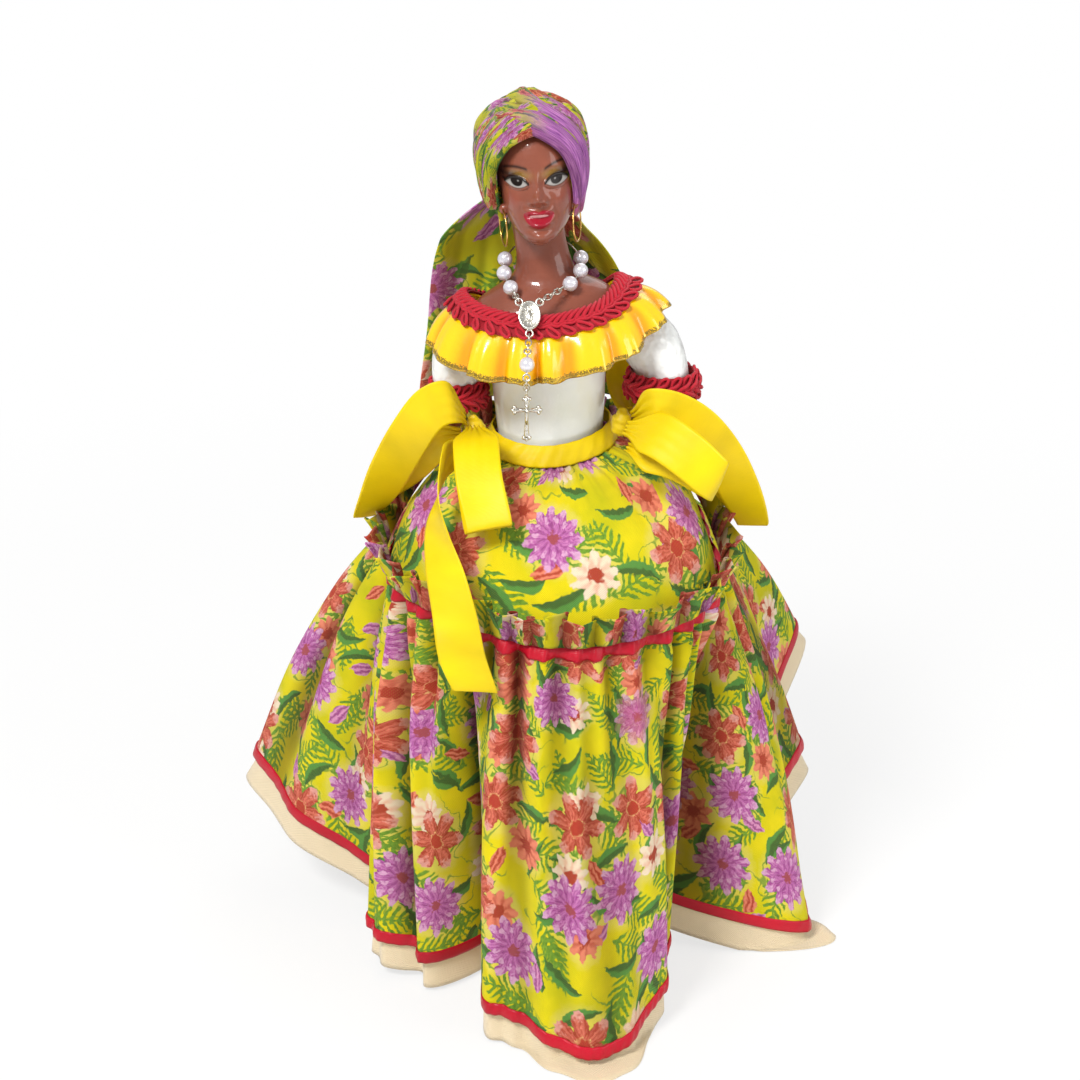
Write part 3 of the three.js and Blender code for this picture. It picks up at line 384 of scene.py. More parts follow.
# Materials. A field is a number that varies over a surface; arithmetic on fields adds their nodes.
class Field:
    def __init__(self, paint, socket):
        self.paint = paint
        self.socket = socket

    def math(self, operation, *others):
        node = self.paint.add("ShaderNodeMath", operation=operation)
        for slot, value in enumerate((self, *others)):
            self.paint.plug(node.inputs[slot], value)
        return Field(self.paint, node.outputs[0])

    __add__ = __radd__ = partialmethod(math, "ADD")
    __sub__ = partialmethod(math, "SUBTRACT")
    __mul__ = __rmul__ = partialmethod(math, "MULTIPLY")
    __truediv__ = partialmethod(math, "DIVIDE")
    sin = partialmethod(math, "SINE")
    cos = partialmethod(math, "COSINE")
    abs = partialmethod(math, "ABSOLUTE")

    def __rsub__(self, other):
        return (self * -1) + other

    def below(self, limit, soft=0.4):
        """1 well under the limit and 0 well over it, with a soft edge."""
        node = self.paint.add("ShaderNodeMapRange", interpolation_type="SMOOTHSTEP")
        self.paint.plug(node.inputs["Value"], self - limit)
        node.inputs["From Min"].default_value = -soft / 2
        node.inputs["From Max"].default_value = soft / 2
        node.inputs["To Min"].default_value = 1
        node.inputs["To Max"].default_value = 0
        return Field(self.paint, node.outputs[0])

    def above(self, limit, soft=0.4):
        return 1 - self.below(limit, soft)


class Paint:
    """A material: a Principled shader with fields plugged into it."""

    def __init__(self, name, colour, roughness, **settings):
        self.material = bpy.data.materials.new(name)
        self.material.use_nodes = True
        self.tree = self.material.node_tree
        self.shader = self.tree.nodes["Principled BSDF"]
        self.set("Base Color", colour)
        self.set("Roughness", roughness)
        for key, value in settings.items():
            self.set(key.replace("_", " ").title().replace("Ior", "IOR"), value)

    def set(self, socket, value):
        self.plug(self.shader.inputs[socket], value)

    def plug(self, socket, value):
        if isinstance(value, Field):
            self.tree.links.new(value.socket, socket)
        elif isinstance(value, (tuple, list)) and len(value) == 3 and socket.type == "RGBA":
            socket.default_value = (*value, 1)
        else:
            socket.default_value = value

    def add(self, kind, **settings):
        node = self.tree.nodes.new(kind)
        for key, value in settings.items():
            setattr(node, key, value)
        return node

    def place(self):
        """Object coordinates in millimetres."""
        node = self.add("ShaderNodeTexCoord")
        scaled = self.add("ShaderNodeVectorMath", operation="SCALE")
        self.tree.links.new(node.outputs["Object"], scaled.inputs[0])
        scaled.inputs["Scale"].default_value = 1000
        return Field(self, scaled.outputs[0])

    def cut(self):
        """The place on the flat cloth in millimetres: across and along."""
        node = self.add("ShaderNodeUVMap", uv_map="cut")
        return Field(self, node.outputs[0])

    def split(self, vector):
        node = self.add("ShaderNodeSeparateXYZ")
        self.plug(node.inputs[0], vector)
        return [Field(self, node.outputs[i]) for i in range(3)]

    def vector(self, x, y, z=0.0):
        node = self.add("ShaderNodeCombineXYZ")
        for slot, value in enumerate((x, y, z)):
            self.plug(node.inputs[slot], value)
        return Field(self, node.outputs[0])

    def noise(self, at, scale, detail=2.0):
        node = self.add("ShaderNodeTexNoise")
        self.plug(node.inputs["Vector"], at)
        node.inputs["Scale"].default_value = scale
        node.inputs["Detail"].default_value = detail
        return Field(self, node.outputs[0])

    def attribute(self, name):
        node = self.add("ShaderNodeAttribute", attribute_name=name)
        return Field(self, node.outputs["Fac"])

    def base(self):
        """The colour that is plugged into the shader so far."""
        return Field(self, self.shader.inputs["Base Color"].links[0].from_socket)

    def mix(self, factor, a, b, blend="MIX"):
        node = self.add("ShaderNodeMix", data_type="RGBA", blend_type=blend)
        self.plug(node.inputs[0], factor)
        self.plug(node.inputs[6], a)
        self.plug(node.inputs[7], b)
        return Field(self, node.outputs[2])

    def tones(self, factor, colour, darkest, lightest, limit=0.95):
        """From a darker to a lighter tone of a colour, neither over the limit."""
        return self.mix(factor, [c * darkest for c in colour], [min(c * lightest, limit) for c in colour])

    def relief(self, height, distance):
        """Bump, with the distance in millimetres that a height of 1 stands for."""
        node = self.add("ShaderNodeBump")
        node.inputs["Distance"].default_value = distance * MM
        self.plug(node.inputs["Height"], height)
        self.tree.links.new(node.outputs[0], self.shader.inputs["Normal"])


def weave(paint, x, y, pitch):
    """Plain weave: threads over and under each other, a pitch apart, each a little uneven."""
    uneven = paint.noise(paint.vector(x, y), 0.5, 1) * 2.2
    across = (x * (TAU / pitch) + uneven).sin()
    along = (y * (TAU / pitch) + uneven).sin()
    return across * along


class Cell:
    """A scatter of places on the cloth: each point's distance and direction from the nearest one."""

    def __init__(self, paint, x, y, size, seed, jitter=0.8):
        self.paint = paint
        at = paint.vector(x / size + seed, y / size + seed * 0.37)
        node = paint.add("ShaderNodeTexVoronoi", voronoi_dimensions="2D")
        node.inputs["Scale"].default_value = 1
        node.inputs["Randomness"].default_value = jitter
        paint.plug(node.inputs["Vector"], at)
        delta = paint.add("ShaderNodeVectorMath", operation="SUBTRACT")
        paint.plug(delta.inputs[0], at)
        paint.tree.links.new(node.outputs["Position"], delta.inputs[1])
        dx, dy, _ = paint.split(Field(paint, delta.outputs[0]))
        self.dx, self.dy = dx * size, dy * size
        self.chance, self.kind, self.spin = paint.split(Field(paint, node.outputs["Color"]))

    def turned(self, offset=0.0):
        """Coordinates along and across a direction that is each place's own."""
        angle = self.spin * TAU + offset
        c, s = angle.cos(), angle.sin()
        return self.dx * c + self.dy * s, self.dy * c - self.dx * s

    def polar(self):
        radius = (self.dx * self.dx + self.dy * self.dy).math("SQRT")
        return radius, self.dy.math("ARCTAN2", self.dx) + self.spin * TAU


def petals(radius, angle, count, reach, depth, sharp=1.0):
    """1 on a flower with so many petals, 0 off it; and a wave that peaks along each petal."""
    wave = (angle * count).cos() * 0.5 + 0.5
    edge = wave.math("POWER", sharp) * (reach * depth) + reach * (1 - depth)
    return (radius - edge).below(0, 0.6), wave


def bloom(paint, radius, angle, streak, petal, tones, heart):
    """A flower: its mask and its colour. Petal: count, reach, depth, sharpness. Tones: dark, light."""
    count, reach, depth, sharp = petal
    heart_colour, heart_reach = heart
    mask, wave = petals(radius, angle, count, reach, depth, sharp)
    hair = (angle * (count * 4) + streak * 9).sin() * 0.5 + 0.5
    tone = hair * 0.5 + streak * 1.1 + wave * 0.35 - 0.62
    colour = paint.mix(tone, *tones)
    rim = (radius / reach + wave * 0.3 + streak * 0.6).above(1.34, 0.25)
    colour = paint.mix(rim * 0.55, colour, [0.4 + 0.6 * c for c in tones[1]])
    seam = wave.below(0.16, 0.22) * radius.above(heart_reach + 1, 1.5)
    colour = paint.mix(seam * 0.5, colour, [c * 0.7 for c in tones[0]])
    return mask, paint.mix((radius + streak * 2.2).below(heart_reach + 1.1, 0.8), colour, heart_colour)


def flower_print(paint, x, y, ground):
    """Scattered garden flowers with leaves and buds on a plain ground, in a layout of its own."""
    wobble = paint.noise(paint.vector(x, y), 0.16, 2) - 0.5
    shiver = paint.noise(paint.vector(y, x, 7.0), 0.5, 3) - 0.5
    x, y = x + wobble * 2.6 + shiver * 2.6, y + wobble * 2 - shiver * 2.2
    streak = paint.noise(paint.vector(x * 0.9, y * 0.9), 1.0, 3)
    big = Cell(paint, x, y, 32, 3.1, 0.66)
    small = Cell(paint, x, y, 29, 11.7, 0.8)
    radius, angle = big.polar()
    r2, a2 = small.polar()
    ragged = (streak - 0.5) * 2.2
    radius, r2 = radius + ragged, r2 + ragged

    # The ground pales a little round the flowers.
    colour = paint.mix(radius.below(12.6, 4) * 0.35, ground, (0.78, 0.68, 0.25))
    has_daisy = small.chance.above(0.28, 0.02)
    colour = paint.mix(r2.below(9, 3.4) * has_daisy * 0.35, colour, (0.78, 0.66, 0.27))

    # Thin stems, fern leaves and single dark leaves.
    line = (paint.noise(paint.vector(x, y, 4.0), 0.075, 1) - 0.5).abs()
    sprig = line.below(0.009, 0.009) * radius.below(17, 4)
    colour = paint.mix(sprig * 0.8, colour, (0.09, 0.26, 0.04))
    for seed, size, length, half in ((5.3, 22, 10, 5), (8.9, 27, 12, 5.8)):
        fern = Cell(paint, x, y, size, seed, 0.9)
        along, across = fern.turned(0.6)
        side = across.abs()
        taper = 1 - (along / length).math("POWER", 2)
        leaflet = ((along * 2.2 - side * 1.7).cos() + 0.16 - side * 0.08).above(0, 0.7)
        shown = fern.chance.above(0.15, 0.02)
        shape = (side - taper * half).below(0, 0.8) * leaflet
        rib = side.below(0.35, 0.3) * (along.abs() - length).below(0, 1)
        green = paint.mix(streak * 1.3 - 0.15, (0.012, 0.12, 0.012), (0.22, 0.46, 0.05))
        colour = paint.mix(shape.math("MAXIMUM", rib) * shown, colour, green)
    for seed, size in ((2.2, 19), (14.6, 24)):
        leaf = Cell(paint, x, y, size, seed, 0.85)
        along, across = leaf.turned()
        taper = 1 - (along / 9.2).math("POWER", 2)
        bent = across + along * along * 0.035
        shape = (bent.abs() - taper * 2.2 + ragged * 0.3).below(0, 0.5) * leaf.chance.above(0.3, 0.02)
        lit = bent.above(0.1, 0.7) * 0.7 + streak * 0.4
        colour = paint.mix(shape, colour, paint.mix(lit, (0.006, 0.06, 0.025), (0.06, 0.28, 0.06)))

    # Violet buds, some of them coral.
    bud = Cell(paint, x, y, 24, 21.4, 0.85)
    along, across = bud.turned(1.1)
    taper = 1 - (along / 5.8).math("POWER", 2)
    shape = (across.abs() - taper * 2.6 + ragged * 0.2).below(0, 0.5) * bud.chance.above(0.4, 0.02)
    stripe = (across * 3.2 + streak * 5).sin() * 0.5 + 0.5
    violet = paint.mix(stripe, (0.32, 0.03, 0.26), (0.72, 0.28, 0.56))
    coral = paint.mix(stripe, (0.44, 0.01, 0.03), (0.84, 0.22, 0.16))
    colour = paint.mix(shape, colour, paint.mix(bud.kind.above(0.68, 0.02), violet, coral))

    # Small daisies, peach or coral, with red hearts.
    is_peach = small.kind.above(0.45, 0.02)
    tones = (paint.mix(is_peach, (0.46, 0.015, 0.04), (0.80, 0.34, 0.26)),
             paint.mix(is_peach, (0.84, 0.22, 0.16), (0.88, 0.72, 0.56)))
    mask, daisy = petals(r2, a2, 9, 7.8, 0.3)
    tone = (daisy + streak * 1.2 - 0.5) * 0.6 + r2 / 12
    inside = paint.mix((r2 + streak * 2).below(3.4, 0.7), paint.mix(tone, *tones), (0.40, 0.010, 0.03))
    colour = paint.mix(mask * has_daisy, colour, inside)

    # Large flowers: violet ones with many petals in two rings, coral stars with ringed hearts.
    is_coral = big.kind.above(0.5, 0.02)
    violet = ((0.34, 0.02, 0.30), (0.72, 0.24, 0.60))
    for turned, reach, heart in ((0.0, 11.4, 0.5), (0.3, 7.6, 2.0)):
        mask, inside = bloom(paint, radius, angle + turned, streak, (11, reach, 0.3, 0.7), violet,
                             ((0.36, 0.03, 0.10), heart))
        colour = paint.mix(mask * (1 - is_coral), colour, inside)
    coral = ((0.42, 0.005, 0.030), (0.84, 0.20, 0.16))
    heart = ((0.90, 0.62, 0.26), 2.9)
    mask, inside = bloom(paint, radius, angle, streak, (6, 11.8, 0.52, 0.55), coral, heart)
    inside = paint.mix(radius.below(2.7, 0.7), inside, (0.46, 0.006, 0.03))
    return paint.mix(mask * is_coral, colour, inside)


def cotton(name, ground, pitch=0.62):
    """Printed muslin. Its sheets may note painted shade, deeper where a place lies in a fold, and where a
    bloom covers it.
    """
    paint = Paint(name, (0.7, 0.6, 0.1), 0.85, sheen_weight=0.04, specular_ior_level=0.12)
    x, y, _ = paint.split(paint.cut())
    threads = weave(paint, x, y, pitch)
    tone = paint.noise(paint.vector(x, y), 0.05, 3)
    deep = (ground[0] * 0.66, ground[1] * 0.80, ground[2])
    shade = paint.mix(tone * 2.4 - 0.6, deep, [min(c * 1.12, 0.95) for c in ground])
    printed = flower_print(paint, x, y, shade)
    streak = paint.noise(paint.vector(x * 0.5, y * 0.12), 1.0, 3)
    violet = paint.mix(streak * 3 - 1, (0.26, 0.015, 0.36), (0.78, 0.28, 0.78))
    printed = paint.mix(paint.attribute("bloom"), printed, violet)
    # Painted shade: a little darker where the threads dip under each other.
    printed = paint.mix(threads.below(-0.2, 0.6) * 0.42, printed, (0.38, 0.34, 0.03))
    # Painted shade: darker where a sheet notes that the place lies deep in a fold or crease.
    paint.set("Base Color", paint.mix(paint.attribute("painted_fold_shade"), printed, (0.34, 0.30, 0.20), "MULTIPLY"))
    paint.relief(threads, 0.07)
    return paint.material


def satin(name, colour, pitch=0.35):
    """Ribbon: fine ribs across it, uneven threads, and broad soft bands of painted sheen and shade along it.
    """
    paint = Paint(name, colour, 0.34, specular_ior_level=0.25)
    x, y, _ = paint.split(paint.cut())
    slub = paint.noise(paint.vector(x * 0.3, y * 6.0), 1.0, 3)
    # Painted sheen and shade: broad soft bands that lighten and darken the ribbon, as satin's sheen shifts
    # with its direction.
    painted_sheen = paint.noise(paint.vector(x * 0.02, y * 0.05), 1.0, 2)
    tone = slub * 0.4 + painted_sheen * 2.4 - 0.9
    paint.set("Base Color", paint.tones(tone, colour, 0.74, 1.12))
    paint.set("Roughness", slub * 0.2 + 0.26)
    ribs = (y * (TAU / pitch)).sin() * 0.5 + slub
    paint.relief(ribs, 0.03)
    return paint.material


def lacquer(name, colour, roughness, orange_peel=0.05, coat=1.0, wear=(0.9, 1.06), grain=0.5):
    """Brushed paint under varnish. Wear: its darkest and lightest tone."""
    paint = Paint(name, colour, roughness, coat_weight=coat, coat_roughness=0.06)
    at = paint.place()
    tone = paint.noise(at, 0.11, 4)
    paint.set("Base Color", paint.tones(tone, colour, *wear, limit=0.98))
    paint.relief(paint.noise(at, grain, 2), orange_peel * 6)
    return paint


def metal(name, colour, roughness, tarnish):
    """Plated metal, tarnished here and there."""
    paint = Paint(name, colour, roughness, metallic=1.0)
    at = paint.place()
    worn = paint.noise(at, 1.4, 4)
    paint.set("Base Color", paint.mix(worn.above(0.56, 0.25), colour, tarnish))
    paint.set("Roughness", worn * 0.25 + (roughness - 0.1))
    paint.relief(paint.noise(at, 4.0, 2), 0.03)
    return paint.material


def thread(name, colour, pitch=0.55):
    """Twisted cord: fine strands that wind round it."""
    paint = Paint(name, colour, 0.6, sheen_weight=0.08, specular_ior_level=0.3)
    x, y, z = paint.split(paint.place())
    strands = ((x + y * 0.7 + z * 0.9) * (TAU / pitch)).sin()
    tone = paint.noise(paint.vector(x, y, z), 0.8, 2)
    # Painted light and shade: the strands are lighter on their crowns and darker in the grooves between them,
    # over a random tone.
    paint.set("Base Color", paint.tones(tone * 0.6 + strands.above(0, 1.2) * 0.4, colour, 0.62, 1.25, 0.9))
    paint.relief(strands, 0.05)
    return paint.material


def net(name, colour, pitch=0.9):
    """Stiff net: the knots of its mesh stand out a little."""
    paint = Paint(name, colour, 0.75, sheen_weight=0.3)
    x, y, _ = paint.split(paint.cut())
    mesh = (x * (TAU / pitch)).sin() * (y * (TAU / pitch)).sin()
    cloud = paint.noise(paint.vector(x, y), 0.07, 3)
    # A random cloudy tone, with painted light: the raised knots are a little lighter.
    paint.set("Base Color", paint.tones(cloud * 0.7 + mesh.above(0.2, 0.8) * 0.3, colour, 0.84, 1.12))
    paint.relief(mesh, 0.08)
    return paint.material


def pearl_finish(name):
    """A coated bead, with a cloudy lustre."""
    paint = Paint(name, (0.62, 0.62, 0.68), 0.2, metallic=0.35, coat_weight=1.0, coat_roughness=0.03)
    at = paint.place()
    cloud = paint.noise(at, 0.35, 2)
    paint.set("Base Color", paint.mix(cloud, (0.60, 0.60, 0.70), (0.86, 0.82, 0.82)))
    paint.relief(paint.noise(at, 1.5, 2), 0.02)
    return paint.material


def plaster(name, colour):
    """Unpainted plaster, pitted and a little stained."""
    paint = Paint(name, colour, 0.85)
    at = paint.place()
    tone = paint.noise(at, 0.08, 5)
    paint.set("Base Color", paint.tones(tone, colour, 0.86, 1.05))
    paint.relief(tone + paint.noise(at, 1.2, 3) * 0.2, 0.5)
    return paint.material


SKIN_BROWN = (0.240, 0.068, 0.039)
# The liner's tint also paints the shadow that the upper lids cast on the eyes.
FACE_TINTS = {
    "blush": (0.27, 0.06, 0.035), "smoke": (0.035, 0.012, 0.010), "lips": (0.30, 0.005, 0.018),
    "teeth": (0.80, 0.50, 0.48), "white": (0.34, 0.32, 0.30), "iris": (0.008, 0.004, 0.003),
    "liner_and_lid_shadow": (0.010, 0.005, 0.004),
}


def skin_paint(name, painted=True):
    """Varnished brown paint. On the head, the fields of its mesh say where lips, eyes and brows are."""
    paint = lacquer(name, SKIN_BROWN, 0.36, 0.03, 0.6, (0.82, 1.16))
    paint.shader.inputs["Specular IOR Level"].default_value = 0.15
    if not painted:
        return paint.material
    at = paint.place()
    colour = paint.base()
    sparkle = paint.noise(at, 5.5, 1).above(0.74, 0.03)
    gold = paint.mix(sparkle, (0.36, 0.22, 0.03), (0.88, 0.76, 0.38))
    colour = paint.mix(paint.attribute("shadow") * 0.8, colour, gold)
    for field, tint in FACE_TINTS.items():
        colour = paint.mix(paint.attribute(field), colour, tint)
    paint.set("Base Color", colour)
    paint.set("Coat Weight", 0.6 - paint.attribute("eye") * 0.5)
    return paint.material


COTTON = cotton("printed_cotton", (0.76, 0.62, 0.004))
SCARF_COTTON = cotton("scarf_cotton", (0.66, 0.60, 0.015))
SATIN_YELLOW = (0.86, 0.62, 0.003)
SATIN = satin("yellow_satin", SATIN_YELLOW)
RED_SATIN = satin("red_ribbon", (0.50, 0.006, 0.022), 0.6)
NET = net("cream_net", (0.78, 0.64, 0.42))
SKIN = skin_paint("varnished_skin")
ARM_SKIN = skin_paint("varnished_arm", painted=False)
WHITE = lacquer("white_lacquer", (0.86, 0.90, 0.90), 0.28, 0.02, 0.6, (0.94, 1.02)).material
SLEEVE = lacquer("white_sleeve", (0.87, 0.88, 0.86), 0.22, 0.4, 0.7, (0.94, 1.02), 0.14).material
RED_CORD = thread("red_cord", (0.56, 0.010, 0.028))
RED_TAPE = thread("red_tape", (0.34, 0.005, 0.014), 0.8)
SILVER = metal("silver", (0.72, 0.70, 0.64), 0.25, (0.42, 0.38, 0.30))
GILT = metal("gilt", (0.80, 0.50, 0.14), 0.22, (0.55, 0.30, 0.07))
PEARL = pearl_finish("pearl")
PLASTER = plaster("bare_plaster", (0.80, 0.75, 0.64))


def collar_lacquer():
    """Golden yellow under varnish, with painted shade of deeper orange in the pleats' troughs, and gold
    glitter along the edge.
    """
    paint = lacquer("yellow_lacquer", (0.93, 0.56, 0.0), 0.25, 0.02, 0.45, (0.94, 1.05))
    # Painted shade: deeper orange where the sheet notes a pleat's trough.
    colour = paint.mix(paint.attribute("painted_fold_shade") * 0.8, paint.base(), (0.84, 0.27, 0.0))
    _, y, _ = paint.split(paint.cut())
    fleck = paint.noise(paint.place(), 2.4, 2)
    edge = (y + fleck * 3).above(24.6, 0.6) * fleck.above(0.4, 0.08)
    paint.set("Base Color", paint.mix(edge, colour, (0.50, 0.33, 0.05)))
    paint.set("Metallic", edge * 0.9)
    return paint.material


COLLAR = collar_lacquer()


# The skirt.
def gathers(angle, share):
    """How far the gathers of the flounce stand out: close and small at the seam, wide and soft lower down."""
    a = np.radians(angle)
    near = 0.3 + 0.7 * smooth(0, 0.06, share)
    fine = waves(a, [(47, 1.0, 0.3), (67, 0.5, 2.1)]) * np.exp(-share / 0.2)
    middle = waves(a + 0.05 * share, [(29, 3.0, 1.2), (37, 1.6, 3.3)]) * np.exp(-share / 0.55)
    easing = smooth(0.03, 0.4, share) * (1 - 0.3 * smooth(0.6, 1, share))
    wide = waves(a - 0.04 * share, [(15, 4.2, 0.4), (22, 2.8, 4.0)]) * easing
    return near * (fine + middle) + wide


def flounce(angle, share, inset=0.0, floor=None):
    """The flounce's surface. Past the floor, cloth that has reached it spreads outwards."""
    top_radius, top_z = curved(SEAM, angle)
    edge_radius, edge_z = folded(HEM, angle)
    puff = 0.1 * np.sin(np.pi * np.minimum(share, 1))
    radius = lerp(top_radius, edge_radius, share + puff) + gathers(angle, share) - inset
    z = lerp(top_z - 0.8, edge_z, share)
    if floor is not None:
        under = np.maximum(floor - z, 0)
        radius, z = radius + 0.9 * under, np.maximum(z, floor)
    return around(angle, radius, z)


def turns(count, rows, start=0.0, end=1.0, power=1.0):
    """Angles right round, and shares from start to end, as a grid with its rows running down."""
    angle = -180 + 360 * np.arange(count) / count
    share = lerp(start, end, np.linspace(0, 1, rows) ** power)
    return np.meshgrid(angle, share)


def yoke(angle, share):
    """The gathered top of the skirt, from the waist over a round shoulder down to the seam."""
    a = np.radians(angle)
    start = waist(angle, 0.4, 0)
    radius, z = curved(SEAM, angle)
    end = around(angle, radius, z)
    quarter = share * np.pi / 2
    out = 0.65 * np.sin(quarter) + 0.35 * share
    down = 0.65 * (1 - np.cos(quarter)) + 0.35 * share
    points = np.stack([lerp(start[..., 0], end[..., 0], out), lerp(start[..., 1], end[..., 1], out),
                       lerp(start[..., 2], end[..., 2], down)], axis=-1)
    pinch = waves(a, [(37, 0.35, 0.9), (53, 0.2, 2.0)]) * np.exp(-share / 0.22)
    pucker = waves(a, [(41, 0.4, 1.9)]) * np.exp(-(1 - share) / 0.12)
    soft = waves(a, [(5, 0.5, 0.2), (9, 0.4, 3.0)]) * np.sin(np.pi * share)
    return points + unit(points - np.array([WAIST["x"], 0, 150])) * (pinch + pucker + soft)[..., None]


def waist(angle, grow, rise):
    """A place round the waist, so far outside the bodice and above the waist's plane."""
    a = np.radians(angle)
    width, depth = WAIST["half_width"] + grow, WAIST["half_depth"] + grow
    radius = 1 / np.hypot(np.sin(a) / width, np.cos(a) / depth)
    lean = WAIST["roll"] * np.sin(a) - WAIST["tilt"] * np.cos(a)
    return around(angle, radius, WAIST["z"] + lean + rise, WAIST["x"])


def heading(angle, share):
    """The gathered frill that stands up round the yoke, its edge winding in and out."""
    a = np.radians(angle)
    radius, z = curved(SEAM, angle)
    phase = 42 * a + 1.3 * np.sin(5 * a + 0.4) + 0.9 * np.sin(11 * a + 2)
    spread = share**0.6
    tall = 12 + 1.4 * np.sin(17 * a + 1) + 0.9 * np.sin(31 * a)
    out = 2.4 + 2.6 * share + 3.2 * spread * np.sin(phase) + 1.6 * share**3
    aside = 2.0 * spread * np.sin(2 * phase) + 0.8 * spread * np.sin(23 * a)
    return around(angle + np.degrees(aside / radius), radius + out, z + 0.4 + tall * share), np.sin(phase)


def turned_down(values, low, high):
    """1 where the values are at their low end and 0 where they are at their high end."""
    return 1 - smooth(low, high, values)


def make_skirt():
    width = 860
    angle, share = turns(900, 100, 0.0, 1.0, 1.25)
    cloth = sheet("flounce_cloth", flounce(angle, share), COTTON, ring=True, cut=(width, FLOUNCE_LENGTH),
                  thickness=COTTON_THICKNESS)
    # Painted shade: darker in the valleys between the flounce's gathers.
    note(cloth, "painted_fold_shade", turned_down(gathers(angle, share), -5.5, 2.5) ** 1.3)
    dress(cloth, "doll", "skirt_flounce")
    top = sheet("yoke_cloth", yoke(*turns(360, 50)), COTTON, ring=True, cut=(270, 64),
                thickness=COTTON_THICKNESS)
    dress(top, "doll", "skirt_yoke")
    angle, share = turns(1600, 14)
    points, swing = heading(angle, share)
    frill = sheet("heading_frill", points, COTTON, ring=True, cut=(1100, 12), thickness=0.45)
    # Painted shade: darker where each curl of the frill turns in towards the yoke, a little less towards its
    # top.
    note(frill, "painted_fold_shade", turned_down(swing, -0.8, 0.8) * (1 - 0.25 * share))
    dress(frill, "doll", "heading_ruffle")
    under = flounce(*turns(900, 60, 0.3, 1.085), PETTICOAT_INSET, PETTICOAT_CLEARANCE)
    lining = sheet("petticoat_net", under, NET, ring=True, cut=(680, 116), thickness=0.5)
    dress(lining, "doll", "petticoat")
    band = TRIM_WIDTH / FLOUNCE_LENGTH
    ribbons = (("seam_ribbon", -0.006, 1.3, 420), ("hem_ribbon", 1 - band, 0.9, width))
    for name, start, lift, length in ribbons:
        angle, share = turns(900, 7, start, start + band)
        at = (share - start) * FLOUNCE_LENGTH / TRIM_WIDTH
        crown = lift * (0.55 + 0.45 * np.sin(np.pi * at)) + 0.18 * np.sin(np.radians(angle) * 150 + 3 * at)
        trim = sheet(f"{name}_satin", flounce(angle, share, -crown), RED_SATIN, ring=True,
                     cut=(length, TRIM_WIDTH), thickness=SATIN_THICKNESS)
        dress(trim, "doll", name)


make_skirt()


# The waistband and bows.
def make_waistband():
    angle, share = turns(240, 12)
    a = np.radians(angle)
    grow = -0.9 + 2.6 * share + 0.5 * np.sin(np.pi * share) + 0.14 * np.sin(23 * a + 5 * share)
    points = waist(angle, grow, 7.8 - 7.4 * share)
    band = sheet("waistband_satin", points, SATIN, ring=True, cut=(125, 10), thickness=SATIN_THICKNESS)
    dress(band, "doll", "waistband")


